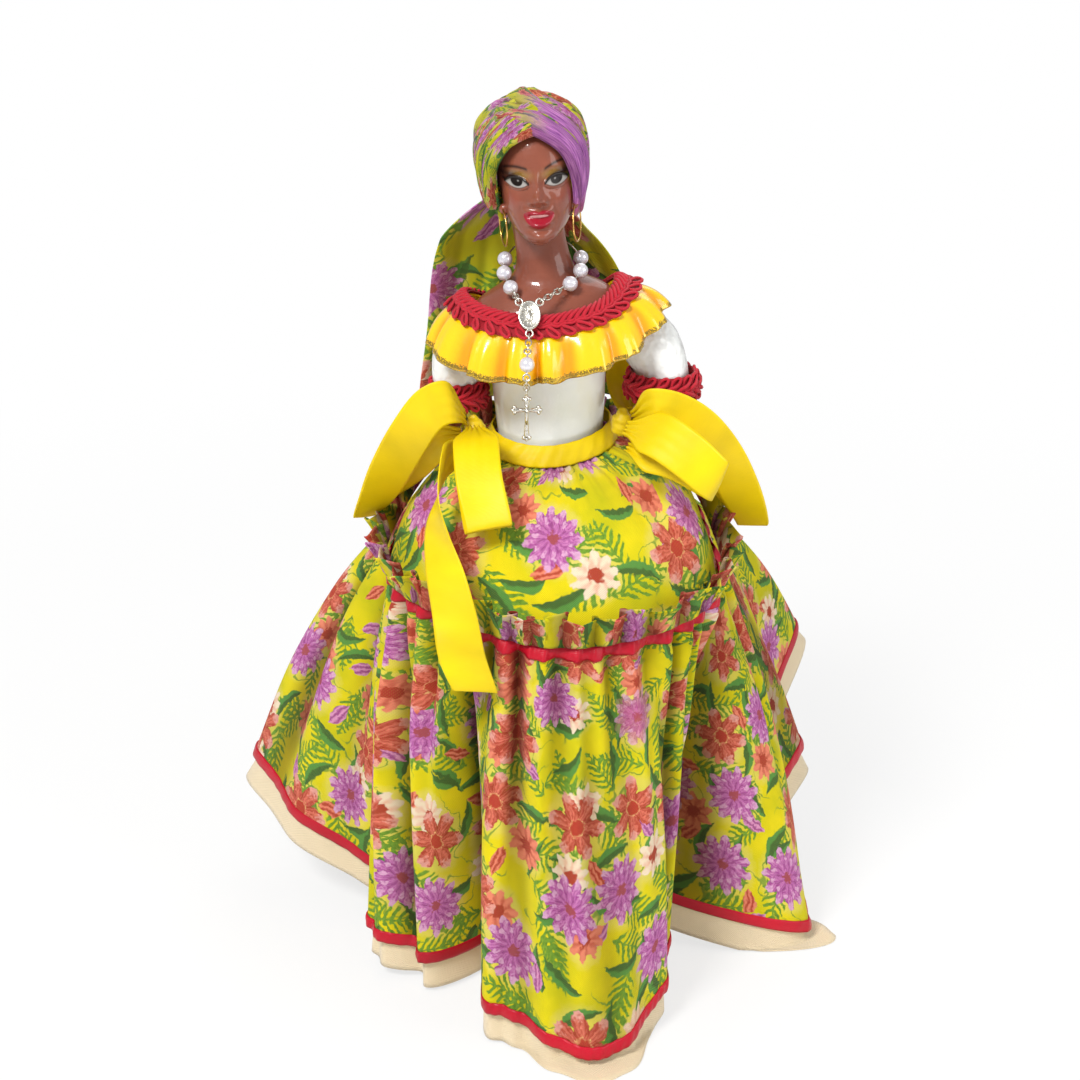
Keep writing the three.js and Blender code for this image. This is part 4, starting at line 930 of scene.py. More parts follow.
# Each ribbon's route: places along its middle, with the direction across it there.
BOWS = {
    "bow_side_loop_left": [
        [31, -13, 216.6, 0.3, 0, -1], [37.5, -24.6, 223, 0.2, 0, -1], [45.8, -24, 221, -0.3, 0, -1],
        [54.6, -21.6, 214.4, -0.6, 0, -0.8], [63, -17.6, 203, -0.8, 0.2, -0.6],
        [69.8, -13, 189, -0.85, 0.4, -0.4], [75, -7.6, 176, -0.7, 0.7, -0.3],
        [75.6, -4.4, 172.6, -0.6, 0.8, -0.3], [73.2, -4.2, 177, -0.6, 0.75, -0.3],
        [66, -8.6, 192, -0.8, 0.3, -0.5], [55, -14, 205.4, -0.7, 0, -0.6], [44, -17.4, 212.4, -0.3, 0, -1],
        [36, -15.4, 213.4, 0, 0, -1], [31, -11.6, 213, 0, 0, -1],
    ],
    "bow_front_loop_left": [
        [28.4, -18.2, 214.6, -0.4, -0.5, -0.8], [38, -31.6, 216.8, -0.5, -0.3, -0.8],
        [48, -40.6, 212.8, -0.5, -0.2, -0.8], [57, -44, 205.6, -0.4, 0, -0.9],
        [59.6, -41.6, 203, -0.3, 0.2, -0.9], [56, -37.4, 204, -0.4, 0, -0.9],
        [47, -33, 208, -0.5, -0.1, -0.8], [37, -26, 208.6, -0.5, -0.3, -0.8],
        [29.6, -17.4, 208.4, -0.5, -0.4, -0.8],
    ],
    "bow_short_end_left": [
        [29.6, -6, 215.8, 0.3, 0.6, 0.6], [31.4, 2.8, 216.6, 0.7, 0.65, 0.2],
        [30, 10.4, 222.6, 0.93, 0.35, 0], [29, 12.4, 233, 0.95, 0.3, 0],
    ],
    "bow_side_loop_right": [
        [-28.6, -12.8, 216.4, 0.2, 0, -1], [-32.6, -21.4, 225, 0.2, 0, -0.98],
        [-40.4, -22.4, 222.4, 0.5, 0, -0.87], [-48, -19, 211, 0.7, 0.1, -0.7],
        [-55, -14.4, 197.4, 0.8, 0.3, -0.5], [-61.4, -9.2, 184, 0.65, 0.65, -0.35],
        [-66, -4.4, 176.4, 0.4, 0.9, -0.3], [-65.2, -1, 175.6, 0.45, 0.85, -0.3],
        [-60, -4.6, 183, 0.5, 0.8, -0.3], [-48.6, -10.4, 198, 0.75, 0.2, -0.5],
        [-38.6, -14, 209.6, 0.6, 0, -0.8], [-29.4, -9.6, 209, 0.3, 0, -1],
    ],
    "bow_front_loop_right": [
        [-24.8, -14, 213.2, 1, 0.1, 0.1], [-24, -29, 213, 1, 0.1, 0.1], [-22.6, -43, 204.8, 1, 0.1, 0.15],
        [-19.4, -50.6, 192, 1, 0, 0.2], [-19.2, -51.4, 189.4, 1, 0, 0.2], [-20, -48.4, 190, 1, 0, 0.2],
        [-22.6, -38, 201.4, 1, 0.1, 0.15], [-24, -24, 206, 1, 0.1, 0.1], [-24.6, -15.6, 206.6, 1, 0.1, 0.1],
    ],
    "bow_tail_right": [
        [-30.2, -15.4, 207.6, -0.4, -0.2, 1], [-34.6, -34, 206, -0.1, -0.7, 0.7],
        [-36.8, -46, 198.4, 0.1, -0.9, 0.4], [-36.6, -55.6, 190.6, 0.5, -0.8, 0.2],
        [-33.4, -64.6, 178.6, 0.85, -0.5, 0.1], [-30.4, -70.4, 166, 0.95, -0.3, 0.1],
        [-28, -73.6, 152, 1, 0, 0], [-23.6, -73.6, 139, 0.95, 0.3, -0.2],
    ],
}


def make_bow_ribbon(node, rows):
    """A ribbon along its rows: drawn together at the knot, and at both ends where it is a loop."""
    rows = np.array(rows, float)
    u = np.linspace(0, 1, 130)
    centre = spline(rows[:, :3], u)
    across = unit(spline(unit(rows[:, 3:]), u))
    run = length_along(centre)
    pinch = np.minimum(run, run[-1] - run) if "loop" in node else run
    width = RIBBON_WIDTH * lerp(0.36, 1.0, smooth(0, 15, pinch))
    w = np.linspace(-0.5, 0.5, 18)
    points = centre[:, None] + across[:, None] * (width[:, None] * w)[..., None]
    out = normals(points)
    crease = np.exp(-pinch / 7)[:, None] * (np.cos(w * 25) * 0.9 + 0.3 * np.cos(w * 51 + 1))[None, :]
    sag = 0.4 * np.sin(run / 9)[:, None] * np.cos(w * 3)[None, :]
    points = points + out * (crease + sag)[..., None]
    piece = sheet(f"{node}_satin", points, SATIN, cut=(RIBBON_WIDTH, run[-1]), thickness=0.4, lift=0.2)
    dress(piece, "doll", node)


def make_knot(node, centre, lean):
    """A knot: ribbon wound tight, with creases that run round it."""
    points, faces = blob((0, 0, 0), (1, 1, 1), 28, 36)
    wind = np.arctan2(points[:, 1], points[:, 0])
    crease = 0.06 * np.sin(7 * points[:, 2] + 1.4 * np.sin(wind)) + 0.05 * np.sin(13 * points[:, 2] + wind)
    points = points * (1 + crease)[:, None]
    turn = np.array(Matrix.Rotation(math.radians(lean), 3, "Y"))
    obj = make_object(f"{node}_satin", (points * KNOT_SIZES) @ turn.T + centre, faces, KNOT_SATIN)
    dress(obj, "doll", node)


def knot_satin():
    """Satin for a knot, which has no flat cut."""
    paint = Paint("knot_satin", SATIN_YELLOW, 0.34, sheen_weight=0.08, specular_ior_level=0.4)
    slub = paint.noise(paint.place(), 1.3, 3)
    paint.set("Base Color", paint.tones(slub, SATIN_YELLOW, 0.84, 1.0))
    paint.relief(slub, 0.25)
    return paint.material


KNOT_SATIN = knot_satin()
make_waistband()
for node, rows in BOWS.items():
    make_bow_ribbon(node, rows)
for node, (centre, lean) in KNOTS.items():
    make_knot(node, centre, lean)


# The collar, and looped braid.
def pleat(angle):
    """The collar's pleats, about 1 on a crest and -1.4 in a trough, and the phase that they follow."""
    a = np.radians(angle)
    phase = 16 * a + 0.7 * np.sin(5 * a + 1) + 0.4 * np.sin(9 * a)
    return np.sin(phase) + 0.3 * np.cos(2 * phase) + 0.2 * np.sin(3 * phase + 2), phase


def collar(angle, share):
    """The collar's surface, from the neckline down to its edge."""
    top_radius, top_z = curved(NECKLINE, angle)
    edge_radius, edge_z = curved(COLLAR_EDGE, angle)
    ridge, phase = pleat(angle)
    bulge = 2 * np.sin(np.pi * share)
    radius = lerp(top_radius, edge_radius, share) + 1.45 * smooth(0.1, 1, share) * ridge + bulge
    return around(angle, radius, lerp(top_z, edge_z, share) + 0.9 * bulge + 0.5 * share * np.sin(phase + 1))


def braid(name, surface, length, half_width, node, double=False):
    """Braid on a surface(along, across, rise), all in millimetres: slanted cords on the inner side of a spine
    and a row of teardrop loops on its outer side, over a tape. A double one has loops on both sides."""
    pitch = length / round(length / BRAID_PITCH)
    turn = circle(23)
    out = (1 - np.cos(turn)) / 2
    s = np.linspace(0, 1, 10)
    parts = []
    for k in range(round(length / pitch)):
        start = k * pitch
        for edge in ((1, -1) if double else (1,)):
            shift = start + (0 if edge > 0 else pitch / 2)
            along = shift + 0.6 * half_width * out + 1.75 * np.sin(turn) * out**0.55
            across = edge * (0.2 + (half_width - 0.6) * out)
            loop = surface(along, across, 1.0 + 0.4 * np.sin(turn) + 0.3 * out)
            parts.append(tube(loop, 0.6, 6, closed=True))
        for step in (0, 0.5):
            side = 1 if double and step else -1
            across = side * (0.1 + (half_width - 0.9) * s**0.75 * (0.6 if double else 1))
            lean = start + (step + s * 1.15) * pitch
            parts.append(tube(surface(lean, across, 1.3 + 0.8 * np.sin(np.pi * s)), 0.85 - 0.25 * s, 6))
    around_it = np.linspace(0, length, 260)[:-1]
    for offset in (-0.5, 0.5):
        wave = offset + 0.35 * np.sin(around_it * TAU / pitch + offset * 6)
        parts.append(tube(surface(around_it, wave, 1.5 + 0 * wave), 0.55, 6, closed=True))
    dress(joined(name, parts, RED_CORD), "doll", node)
    across, along = np.meshgrid(np.linspace(-half_width + 0.5, half_width - 1.0, 8), around_it, indexing="ij")
    tape = sheet(f"{name}_tape", surface(along, across, 0.75 + 0 * along), RED_TAPE, ring=True,
                 cut=(length, 2 * half_width), thickness=0.5)
    dress(tape, "doll")


def make_collar():
    angle, share = turns(900, 34)
    ruffle = sheet("collar_lacquered", collar(angle, share), COLLAR, ring=True, cut=(250, 25), thickness=1.0)
    # Painted shade: the pleats' troughs are noted for a deeper orange, more so further from the neckline.
    note(ruffle, "painted_fold_shade", turned_down(pleat(angle)[0], -1.2, 0.5) * smooth(0.1, 0.6, share))
    dress(ruffle, "doll", "collar_ruffle")
    round_it = np.linspace(-180, 180, 721)
    line = collar(round_it, np.full_like(round_it, BRAID_AT))
    run = length_along(line)

    def surface(along, across, rise):
        angle = np.interp(np.mod(along, run[-1]), run, round_it)
        share = BRAID_AT + across / 26
        at, beside, below = collar(angle, share), collar(angle + 1, share), collar(angle, share + 0.02)
        out = unit(np.cross(below - at, beside - at))
        return at + out * (rise + 0.2)[..., None]

    braid("collar_gimp", surface, run[-1], COLLAR_BRAID, "collar_braid")


def make_cuff(side, centre, radius):
    run = TAU * radius

    def surface(along, across, rise):
        angle = np.degrees(along / radius)
        hug = 1.1 * np.clip(-across / 5, 0, 1)
        return around(angle, radius - 1.6 + rise - hug, -across) + centre

    braid(f"cuff_gimp_{side}", surface, run, CUFF_BRAID, f"cuff_braid_{side}", double=True)


make_collar()
for side, (centre, radius) in CUFFS.items():
    make_cuff(side, np.array(centre), radius)
for material, levels, nodes in (
    (WHITE, 3, ["bodice"]), (SLEEVE, 3, ["sleeve_left", "sleeve_right"]),
    (ARM_SKIN, 2, ["forearm_left", "forearm_right"]),
):
    for node in nodes:
        dress(refined(node, material, levels), "doll", node)
for node in ("base_plate", "lower_body"):
    frame["nodes"][node].data.materials[0] = PLASTER


# The head, in its own frame: the eyes' height is near 0, and x runs to the doll's left. A row of the skull
# or of the scarf: height, half width, depth in front and behind. A row of the shoulders: height, x, y, half
# width and half depth.
SKULL = np.array([
    [-20.8, 3.6, 16.2, -7], [-19, 6.8, 18.8, 2], [-16, 9.4, 19.6, 5], [-12, 11.2, 19.4, 8],
    [-8, 12.2, 19, 11],
    [-3, 13.1, 18.8, 14], [3, 13.7, 19, 16], [9, 13.6, 18.7, 17], [14, 12.6, 17, 16], [18, 10.2, 13.6, 12],
    [20.6, 6.4, 8.6, 7],
])
SCARF = np.array([
    [-14.5, 13.2, 8, 15], [-11, 14.4, 12, 18], [-6, 15.8, 16, 21], [0, 17.2, 19.4, 23], [7, 18.2, 21.2, 23.8],
    [13, 18.2, 20.8, 22.8], [19, 16.6, 18.6, 20], [24, 13, 14.2, 15.4], [27, 8.4, 9, 9.6],
    [28.2, 3, 3.2, 3.6],
])
SHOULDERS = np.array([
    [248.2, 0.3, -1, 24, 13.5], [251, 0.3, -1.6, 26, 15], [255, 0.2, -2, 26, 15], [259, 0.6, -1.4, 23, 12.8],
    [262, 0.6, -0.6, 18, 10.6], [264.5, 0.2, 0, 13, 9.4], [267.5, -0.2, 0.4, 10.4, 8.8],
    [272, -0.8, 0.9, 9.3, 8.5], [277, -1.7, 1.1, 8.9, 8.6], [284, -2.7, 1.4, 8.9, 9],
    [292, -3.4, 1.2, 8, 8.6],
])


def pose(points):
    """From the head's frame to the doll's."""
    roll = Matrix.Rotation(math.radians(HEAD["rolled"]), 4, "Y")
    low = Matrix.Translation((HEAD["x"], HEAD["y"], HEAD["z"] - HEAD["neck"]))
    m = np.array(low @ roll @ Matrix.Translation((0, 0, HEAD["neck"])))
    return points @ m[:3, :3].T + m[:3, 3]


def row_at(rows, z):
    """The other columns of a table at a height, on a smooth curve through its rows."""
    i = np.clip(np.searchsorted(rows[:, 0], z, side="right") - 1, 0, len(rows) - 2)
    s = ((z - rows[i, 0]) / (rows[i + 1, 0] - rows[i, 0]))[..., None]
    p = rows[:, 1:]
    return eased(p[np.maximum(i - 1, 0)], p[i], p[i + 1], p[np.minimum(i + 2, len(p) - 1)], s)


def oval(rows, angle, z, x=0.0, grow=0.0):
    """A place round a table of ovals."""
    angle, z = np.broadcast_arrays(np.asarray(angle, float), np.asarray(z, float))
    value = row_at(rows, z)
    depth = np.where(np.cos(angle) > 0, value[..., 1], value[..., 2])
    across = np.sign(np.sin(angle)) * np.abs(np.sin(angle)) ** 0.92 * (value[..., 0] + grow)
    along = -np.sign(np.cos(angle)) * np.abs(np.cos(angle)) ** 0.86 * (depth + grow)
    return np.stack([x + across, along, z], axis=-1)


EYE = {"x": 6.8, "z": 1.0, "half_width": 3.8, "half_height": 1.9}
MOUTH = {"z": -11.0, "half_width": 4.9}


def eye_place(x, z):
    """Across and up within the nearer eye, with its outer corner a little raised."""
    across = np.abs(x) - EYE["x"]
    return across, z - EYE["z"] - 0.12 * across


def lid(across):
    """The height of the upper lid's edge and of the lower one's, at a place across the eye."""
    open_share = np.clip(1 - (across / EYE["half_width"]) ** 2, 0, 1)
    return EYE["half_height"] * open_share**0.7, -0.8 * EYE["half_height"] * open_share


def mouth_curve(x):
    """How far the mouth's corners rise in a smile."""
    return 0.9 * (np.abs(x) / MOUTH["half_width"]) ** 2


def face_relief(x, z):
    """How far the face stands out from the skull."""
    side = np.abs(x)
    nose = 3.6 * bump(x, 0, 1.9) * bump(z, -4.4, 2.3) + 1.7 * bump(x, 0, 1.4) * bump(z, 0.6, 4.4)
    wings = 1.4 * bump(side, 2.5, 1.1) * bump(z, -5.2, 1.3)
    nostrils = -0.5 * bump(side, 1.5, 0.5) * bump(z, -6.5, 0.5)
    smile = mouth_curve(x)
    taper = np.clip(1 - (x / (MOUTH["half_width"] + 0.6)) ** 2, 0, 1)
    level = z - smile
    lips = 1.5 * taper * (bump(level, MOUTH["z"] + 1.9, 1.0) + 1.15 * bump(level, MOUTH["z"] - 1.9, 1.15))
    parting = -0.5 * taper * bump(level, MOUTH["z"] + 0.1, 0.5)
    philtrum = -0.25 * bump(x, 0, 0.7) * bump(z, MOUTH["z"] + 4, 0.9)
    chin = 1.5 * bump(x, 0, 4) * bump(z, -17.4, 2.3)
    groove = -0.7 * bump(x, 0, 3.5) * bump(z, -15, 0.9)
    brow = 0.8 * bump(side, 6.2, 4) * bump(z, 5.8, 1.7)
    socket = -2.2 * bump(side, EYE["x"] - 0.3, 3.4) * bump(z, EYE["z"] + 0.4, 2.9)
    across, up = eye_place(x, z)
    eyeball = 1.9 * np.clip(1 - (across / 4.6) ** 2 - (up / 2.6) ** 2, 0, 1) ** 0.8
    upper, _ = lid(across)
    crease = 0.35 * bump(up, upper + 0.35, 0.35) * (np.abs(across) < 4.2)
    cheek = 0.9 * bump(side, 8, 3) * bump(z, -5.2, 3.4)
    fold = -0.35 * bump(side, 5.6 + 0.25 * (-6 - z), 0.6) * bump(z, -8.4, 2.2)
    mouth = lips + parting + philtrum + chin + groove
    return nose + wings + nostrils + mouth + brow + socket + eyeball + crease + cheek + fold


def make_head():
    columns, rows = 260, 210
    even = TAU * np.arange(columns) / columns
    angle, z = np.meshgrid(even - 0.62 * np.sin(even), np.linspace(SKULL[0, 0], SKULL[-1, 0], rows))
    points = oval(SKULL, angle, z)
    facing = np.clip(2 * np.cos(angle), 0, 1)
    points[..., 1] -= face_relief(points[..., 0], z) * facing
    head = loft(points)
    ring = circle(96)
    rings = []
    for height in np.linspace(SHOULDERS[0, 0], SHOULDERS[-1, 0], 60):
        x, y, half_width, half_depth = row_at(SHOULDERS, np.array(height))
        collarbones = bump(np.degrees(ring), 235, 16) + bump(np.degrees(ring), 305, 16)
        out = 0.5 * bump(height, 261.5, 1.6) * collarbones
        rings.append(np.stack([x + (half_width + out) * np.cos(ring), y + (half_depth + out) * np.sin(ring),
                               height + 0.07 * half_width * np.cos(ring)], axis=-1))
    lobes = [blob((s * 11.8, -7.2, -9.3), (1.9, 1.7, 1.9), 10, 12) for s in (1, -1)]
    parts = [(pose(head[0]), head[1]), loft(rings)] + [(pose(p), f) for p, f in lobes]
    obj = joined("head_painted", parts, SKIN)
    paint_face(obj, head[0])
    dress(obj, "doll", "head_and_shoulders")


def within(*gaps, soft=0.15):
    """1 where each gap is over 0, and 0 where one is under it, with a soft edge."""
    return np.prod([smooth(-soft, soft, gap) for gap in gaps], axis=0)


def paint_face(obj, points):
    """Writes where the paint lies, for each vertex of the head."""
    x, z = points[:, 0], points[:, 2]
    front = (points[:, 1] < -6).astype(float)
    across, up = eye_place(x, z)
    upper, lower = lid(across)
    beside = np.abs(across) < EYE["half_width"]
    inside = within(upper - up, up - lower) * beside
    iris = np.hypot(across + 0.1, (up - 0.9) * 1.05)
    glint = bump(across, -0.6, 0.26) * bump(up, 0.9, 0.26)
    rim = smooth(-0.55, -0.2, up - upper) * (1 - smooth(0.5, 1.1, up - upper))
    rim = rim * (np.abs(across) < EYE["half_width"] + 0.4)
    wing = bump(up, 0.15 * across + 0.3, 0.5) * smooth(2.6, 3.4, across) * (1 - smooth(4.4, 5.4, across))
    under = 0.6 * bump(up, lower - 0.1, 0.2) * beside
    lifted = np.where(x > 0, 0.26, 0.06)
    brow_line = 6.5 - 0.05 * (across - 0.2) ** 2 + lifted * (across + 3)
    brow = bump(z, brow_line, 0.55) * smooth(-4.4, -3.4, across) * (1 - smooth(3.6, 5.2, across))
    smile = z - mouth_curve(x)
    half = np.clip(1 - (x / (MOUTH["half_width"] + 0.3)) ** 2, 0, 1)
    top = MOUTH["z"] + 2.9 * half**0.55 - 0.5 * bump(x, 0, 0.9)
    bottom = MOUTH["z"] - 3.4 * half**0.75
    lips = within(top - smile, smile - bottom) * (half > 0)
    gap = np.clip(1 - (x / (MOUTH["half_width"] - 1.7)) ** 2, 0, 1)
    gap_top = smooth(-0.1, 0.12, MOUTH["z"] + 0.3 + 1.15 * gap**0.6 - smile)
    seen = gap_top * smooth(-0.1, 0.12, smile - MOUTH["z"] - 0.3)
    above = smooth(0.1, 0.7, up - upper)
    smoke = 0.95 * bump(up, 2.0 + 0.2 * across, 1.9) * above * smooth(-2.5, 2, across)
    # Painted shadow: the eye darkens towards its upper lid, and is laid in with the liner.
    shade = 0.7 * inside * smooth(-1.3, 0.1, up - upper)
    fields = {
        "shadow": bump(up, 3.0, 1.6) * above * bump(across, -1.2, 3.4),
        "smoke": smoke * (1 - smooth(4.6, 6.4, across)),
        "blush": 0.8 * bump(np.abs(x), 8.6, 2.6) * bump(z, -5, 2.6),
        "lips": lips,
        "teeth": seen * (gap > 0),
        "white": inside,
        "iris": inside * smooth(-0.12, 0.12, 2.0 - iris) * (1 - glint),
        "eye": inside,
        "liner_and_lid_shadow": np.maximum.reduce([rim, wing, under, brow * 0.9, shade]) * (1 - glint),
    }
    for name, values in fields.items():
        note(obj, name, np.pad(values * front, (0, len(obj.data.vertices) - len(points))))


make_head()


# The headscarf: wound bands over a close cap, and the end that hangs down behind.
SCARF_SHIFT = -1.3
MM_PER_DEGREE = 0.33
WRAPS = [
    # Each band: lift, width, how much of a violet bloom lies on it, then azimuth and height along its middle.
    (-0.9, 16, 0, [[98, -12], [125, -3], [160, 4], [200, 4], [235, -3], [262, -12]]),
    (-0.8, 16, 0, [[92, 2], [125, 11], [180, 16], [235, 11], [268, 2]]),
    (-0.8, 15, 0, [[60, 23], [84, 14], [96, 2], [98, -12]]),
    (-0.8, 15, 0.3, [[-54, 25], [-84, 15], [-98, 4], [-101, -7]]),
    (-0.6, 13, 0, [[-40, 26.6], [16, 24.8], [58, 15], [78, 0], [84, -12.5]]),
    (-0.6, 11, 0.25, [[50, 26], [-20, 25], [-60, 14], [-82, 1], [-90, -8.5]]),
    (-0.6, 7, 0, [[-64, 7], [-42, 14], [-16, 19.4], [8, 21.6], [30, 19.4], [62, 9]]),
    (-0.3, 9, 0, [[46, 25.4], [4, 25], [-32, 20], [-63, 8], [-79, -3], [-84, -8.5]]),
    (-0.1, 9, 0, [[48, 23.6], [14, 24.6], [-20, 20.6], [-52, 10], [-70, -2], [-78, -8.5]]),
    (0.2, 10, 1, [[-52, 24], [-18, 24.2], [10, 22.4], [42, 15], [62, 4.6], [75, -7], [80, -13]]),
]


def make_turban():
    for k, (lift, width, violet, path) in enumerate(WRAPS):
        u, v = np.linspace(0, 1, 110), np.linspace(-0.5, 0.5, 34)
        middle = spline(np.array(path, float) * [MM_PER_DEGREE, 1], u)
        ahead = unit(np.gradient(middle, axis=0))
        off = width * v[None, :]
        flat_x = middle[:, :1] + ahead[:, 1:] * off
        flat_z = middle[:, 1:] - ahead[:, :1] * off
        u, v = u[:, None], v[None, :]
        crown = 0.9 * (1 - (2 * v) ** 4) - 0.8 * (np.abs(2 * v) > 0.96)
        drift = 2.2 * np.sin(u * 4 + k) + 2 * u
        creases = 0.42 * np.sin(v * 13 + drift) + 0.16 * np.sin(v * 31 + 2 * drift + k)
        rise = lerp(-1.2, lift + crown + creases, smooth(0, 0.08, np.minimum(u, 1 - u)))
        points = pose(oval_rise(flat_x / MM_PER_DEGREE, flat_z, rise))
        piece = sheet(f"scarf_wrap_{k + 1}", points, SCARF_COTTON, cut=(40 + 11 * k, 88), thickness=1.1)
        # Painted shade: darker in the creases of each band.
        note(piece, "painted_fold_shade", 0.75 * turned_down(creases, -0.55, 0.0) + 0 * u)
        note(piece, "bloom", violet * np.clip(1.7 * bump(u, 0.6, 0.26), 0, 1) * smooth(-0.5, -0.25, v))
        dress(piece, "doll", *(["turban"] if k == 0 else []))

    # The cap under them: open over the face, and closed at its crown.
    azimuth, share = np.meshgrid(np.arange(140) * 360 / 140 - 180, np.linspace(0, 1, 60))
    lowest = lerp(20, SCARF[0, 0], smooth(26, 72, np.abs(azimuth - 2)))
    cap = pose(oval(SCARF, np.radians(azimuth), lerp(SCARF[-1, 0], lowest, share), SCARF_SHIFT, -0.5))
    crown = pose(np.array([[SCARF_SHIFT, 0.2, SCARF[-1, 0] + 0.5]]))
    cap = np.concatenate([lerp(crown, cap[:1], 0.04), lerp(crown + [0, 0, 0.1], cap[:1], 0.5), cap])
    under = sheet("scarf_cap", cap, SCARF_COTTON, ring=True, cut=(110, 60), thickness=1.2)
    dress(under, "doll")


def oval_rise(azimuth, z, rise):
    """A place on the scarf, raised square to it by so much."""
    z = np.clip(z, SCARF[0, 0], SCARF[-1, 0])
    at = oval(SCARF, np.radians(azimuth), z, SCARF_SHIFT)
    middle = np.array([SCARF_SHIFT, -1.0, 2.0])
    return at + unit(at - middle) * rise[..., None]


def make_veil():
    """The scarf's end: its top is tucked under the wound bands."""
    u, v = np.meshgrid(np.linspace(0, 1, 200), np.linspace(0, 1, 110))
    side = 2 * u - 1
    left, right = lerp(15, 41, v**0.25), lerp(7, 41.5, 1 - np.exp(-v / 0.27))
    creases = (0.4 + 0.7 * v) * np.sin(23 * side + 2 * v)
    folds = (1 + 2.4 * v) * np.cos(3.2 * np.pi * side + 0.6) + creases
    y = lerp(27, 40, v**0.8) + 5 * np.sin(np.pi * v) + folds - 9 * side**2 * (1 - 0.4 * v)
    x = side * np.where(side < 0, left, right) - 6 + 0.5 * np.sin(9 * v + 4 * side)
    z = lerp(286, 209, v) + 1.5 * side + 0.5 * np.sin(14 * side) * v
    tucked = 1 - smooth(0, 0.16, v)
    x, y, z = lerp(x, 13 * side - 4.5, tucked), lerp(y, 13 - 5 * side**2, tucked), lerp(z, 292, tucked)
    points = np.stack([x, y, z], axis=-1)[:, ::-1]
    piece = sheet("veil_cloth", points, SCARF_COTTON, cut=(74, 82), thickness=0.5)
    # Painted shade: a little darker in the veil's creases.
    note(piece, "painted_fold_shade", 0.5 * turned_down(-creases, -0.9, 0.1)[:, ::-1])
    dress(piece, "doll", "veil")


make_turban()
make_veil()


# The rosary and earrings.
MEDAL = {"centre": (-5.4, -25, 257), "lean": 34, "half_width": 3.8, "half_height": 5.2}


def ring_of_wire(centre, radius, wire, order=(0, 1, 2)):
    """A ring round Z, or round another axis where the order of its coordinates is changed."""
    t = circle(32)
    flat = np.stack([radius * np.cos(t), radius * np.sin(t), 0 * t], axis=-1)
    return tube(flat[:, order] + centre, wire, 8, closed=True)


def make_medal():
    """An oval medal: a raised rim, a sunk field with a plain robed figure in rays, and three eyes."""
    t = circle(64)
    a, b = MEDAL["half_width"], MEDAL["half_height"]
    profile = [(0.9, -0.3), (1, -0.25), (1.02, 0.1), (1, 0.45), (0.96, 0.62), (0.86, 0.62), (0.8, 0.42),
               (0.4, 0.4), (0.05, 0.4)]
    rings = [np.stack([a * s * np.cos(t), b * s * np.sin(t), 0 * t + h], axis=-1) for s, h in profile]
    head = blob((0, 1.9, 0.75), (0.55, 0.62, 0.45), 8, 12)
    robe = blob((0, -0.6, 0.6), (1.0, 2.1, 0.5), 10, 14)
    parts = [loft(rings), head, robe]
    for k in range(12):
        ray = k * TAU / 12 + 0.26
        tip = np.array([2.6 * math.cos(ray), 3.6 * math.sin(ray), 0.44])
        parts.append(tube(np.linspace(tip * [0.55, 0.55, 1], tip, 4), 0.16, 6))
    eyes = [(-3.5, 4.6, 0.3), (3.5, 4.6, 0.3), (0, -b - 1.3, 0.3)]
    parts += [ring_of_wire(eye, 1.2, 0.36) for eye in eyes]
    turn = np.array(Matrix.Rotation(math.radians(90 - MEDAL["lean"]), 3, "X"))
    parts = [(points @ turn.T + MEDAL["centre"], faces) for points, faces in parts]
    dress(joined("medal_struck", parts, SILVER), "rosary", "medal")


def make_crucifix():
    """A cross with budded ends and a small plain raised figure. It hangs from its eye, the origin."""
    low, high = node_box("crucifix")
    origin = np.array([(low[0] + high[0]) / 2, high[1] - 1.6, high[2] - 1.55])
    arms = -6.6
    parts = [ring_of_wire((0, 0, 0), 1.2, 0.34, (2, 0, 1))]
    s = np.linspace(-1, 1, 15)
    t = circle(12)
    for along, across, centre, half in ((2, 0, -9.4, 7.0), (0, 2, arms, 4.2)):
        rings = []
        for share, wide in zip(s, 0.62 + 0.4 * np.abs(s) ** 2):
            ring = np.zeros((12, 3))
            ring[:, along] = share * half
            ring[:, across] = wide * np.cos(t)
            ring[:, 1] = 0.62 * np.sin(t)
            ring[:, 2] += centre
            rings.append(ring)
        parts.append(loft(rings))
    for x, z in ((-4.1, arms), (4.1, arms), (0, -16.5), (0, -2.7)):
        outward = np.array([np.sign(x), 0, 0]) if x else np.array([0, 0, -1 if z < arms else 1])
        beside = np.array([outward[2], 0, outward[0]])
        for offset in (outward * 0.55, beside * 0.95, -beside * 0.95):
            parts.append(blob(np.array([x, 0, z]) + offset, (0.72, 0.7, 0.72), 8, 12))
    parts.append(blob((0, -0.9, arms + 1.5), (0.6, 0.55, 0.7), 8, 12))
    body = [(0, -0.7, arms + 0.9), (0.1, -1, arms - 1), (-0.1, -0.95, arms - 3), (0, -0.7, arms - 5)]
    reach = [(-3.1, -0.65, arms + 0.8), (-1.4, -0.85, arms + 0.2), (0, -0.9, arms), (1.4, -0.85, arms + 0.2),
             (3.1, -0.65, arms + 0.8)]
    parts += [tube(body, [0.7, 0.62, 0.5, 0.3], 8), tube(reach, 0.3, 8)]
    parts = [(points + origin, faces) for points, faces in parts]
    dress(joined("crucifix_cast", parts, SILVER), "cross", "crucifix")


def make_bead(node, body):
    low, high = node_box(node)
    bead = blob((low + high) / 2, (BEAD_RADIUS,) * 3, 20, 28)
    dress(joined(f"{node}_round", [bead], PEARL), body, node)


# What each body of the record carries of the rosary and the earrings.
for body, members in frame["record"]["behaviour"]["bodies"].items():
    for node in members:
        if "pearl" in node:
            make_bead(node, body)
        elif "link" in node or node in ("neck_wire", "drop_pin"):
            dress(refined(node, SILVER, 2), body, node)
        elif node.startswith("earring"):
            dress(refined(node, GILT, 2), body, node)
make_medal()
make_crucifix()


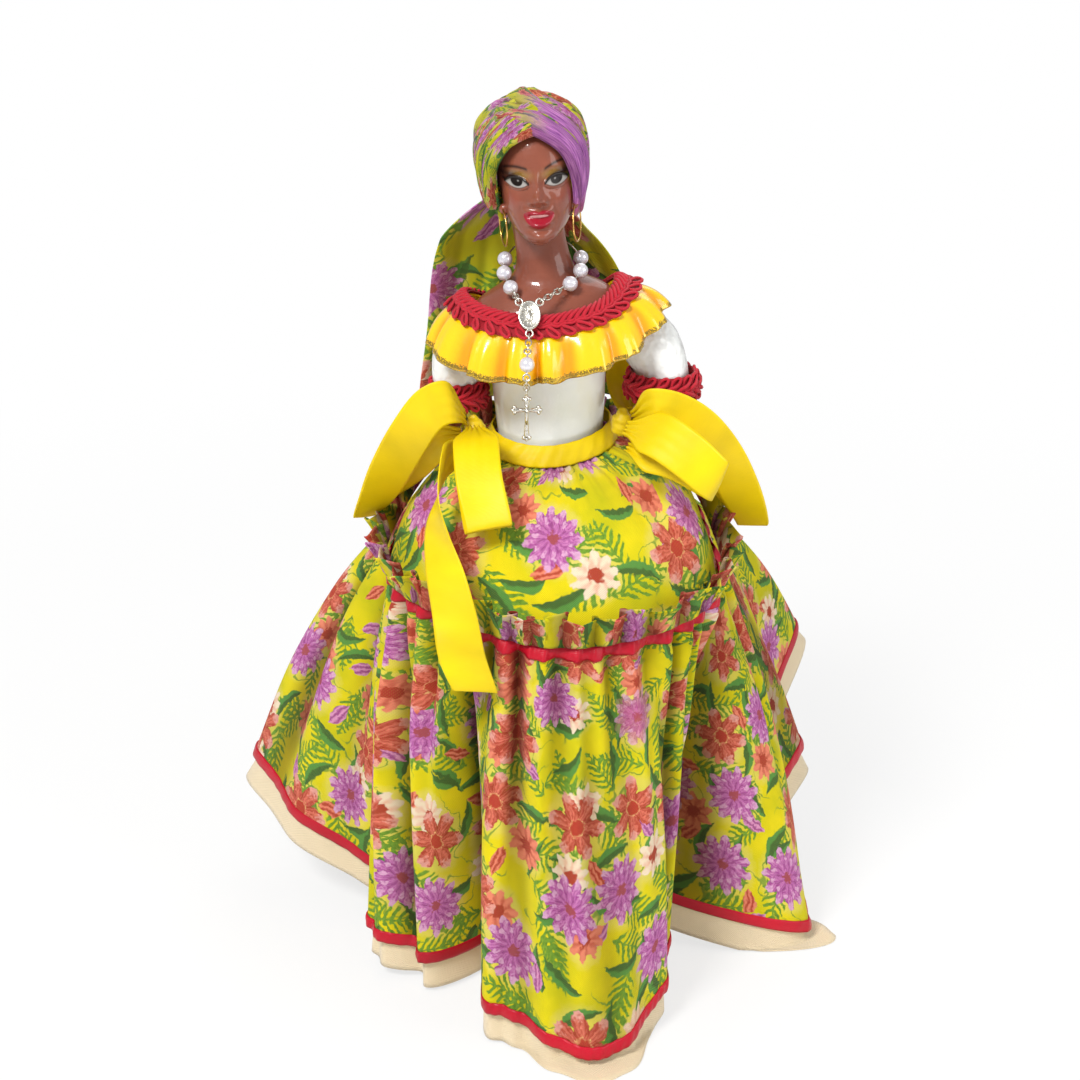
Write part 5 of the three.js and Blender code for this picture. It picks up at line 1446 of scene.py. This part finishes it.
# The studio: a pale floor that keeps the shadow, a white surround, and soft lamps.
def make_floor():
    far = 4000
    corners = [[-far, -far, 0], [far, -far, 0], [far, far, 0], [-far, far, 0]]
    floor = make_object("floor", corners, [[0, 1, 2, 3]], floor_material(), False)


def floor_material():
    """Matt near the doll, where it keeps the shadow; to the camera it grows white further out."""
    paint = Paint("pale_floor", (0.86, 0.86, 0.85), 0.9)
    tree = paint.tree
    light = paint.add("ShaderNodeEmission")
    light.inputs["Color"].default_value = (1, 1, 1, 1)
    seen = Field(paint, paint.add("ShaderNodeLightPath").outputs["Is Camera Ray"])
    x, y, _ = paint.split(paint.place())
    far = (x * x + y * y).math("SQRT").above(480, 600)
    blend = paint.add("ShaderNodeMixShader")
    paint.plug(blend.inputs[0], seen * (far * 0.28 + 0.72))
    tree.links.new(paint.shader.outputs[0], blend.inputs[1])
    tree.links.new(light.outputs[0], blend.inputs[2])
    tree.links.new(blend.outputs[0], tree.nodes["Material Output"].inputs["Surface"])
    return paint.material


def make_world():
    world = bpy.data.worlds.new("studio")
    bpy.context.scene.world = world
    world.use_nodes = True
    tree = world.node_tree
    background = tree.nodes["Background"]
    background.inputs["Color"].default_value = (1, 1, 1, 1)
    rays = tree.nodes.new("ShaderNodeLightPath")
    level = tree.nodes.new("ShaderNodeMapRange")
    level.inputs["To Min"].default_value = WORLD_LIGHT
    level.inputs["To Max"].default_value = 1.0
    tree.links.new(rays.outputs["Is Camera Ray"], level.inputs["Value"])
    tree.links.new(level.outputs[0], background.inputs["Strength"])


def make_lamp(name, place, size, power):
    data = bpy.data.lights.new(name, "AREA")
    data.size = size
    data.energy = power
    lamp = bpy.data.objects.new(name, data)
    lamp.location = place
    lamp.rotation_euler = (Vector(LAMPS_AIM) - Vector(place)).to_track_quat("-Z", "Y").to_euler()
    bpy.context.collection.objects.link(lamp)


make_floor()
make_world()
for name, (place, size, power) in LAMPS.items():
    make_lamp(name, place, size, power)
bpy.context.scene.view_settings.view_transform = "Standard"
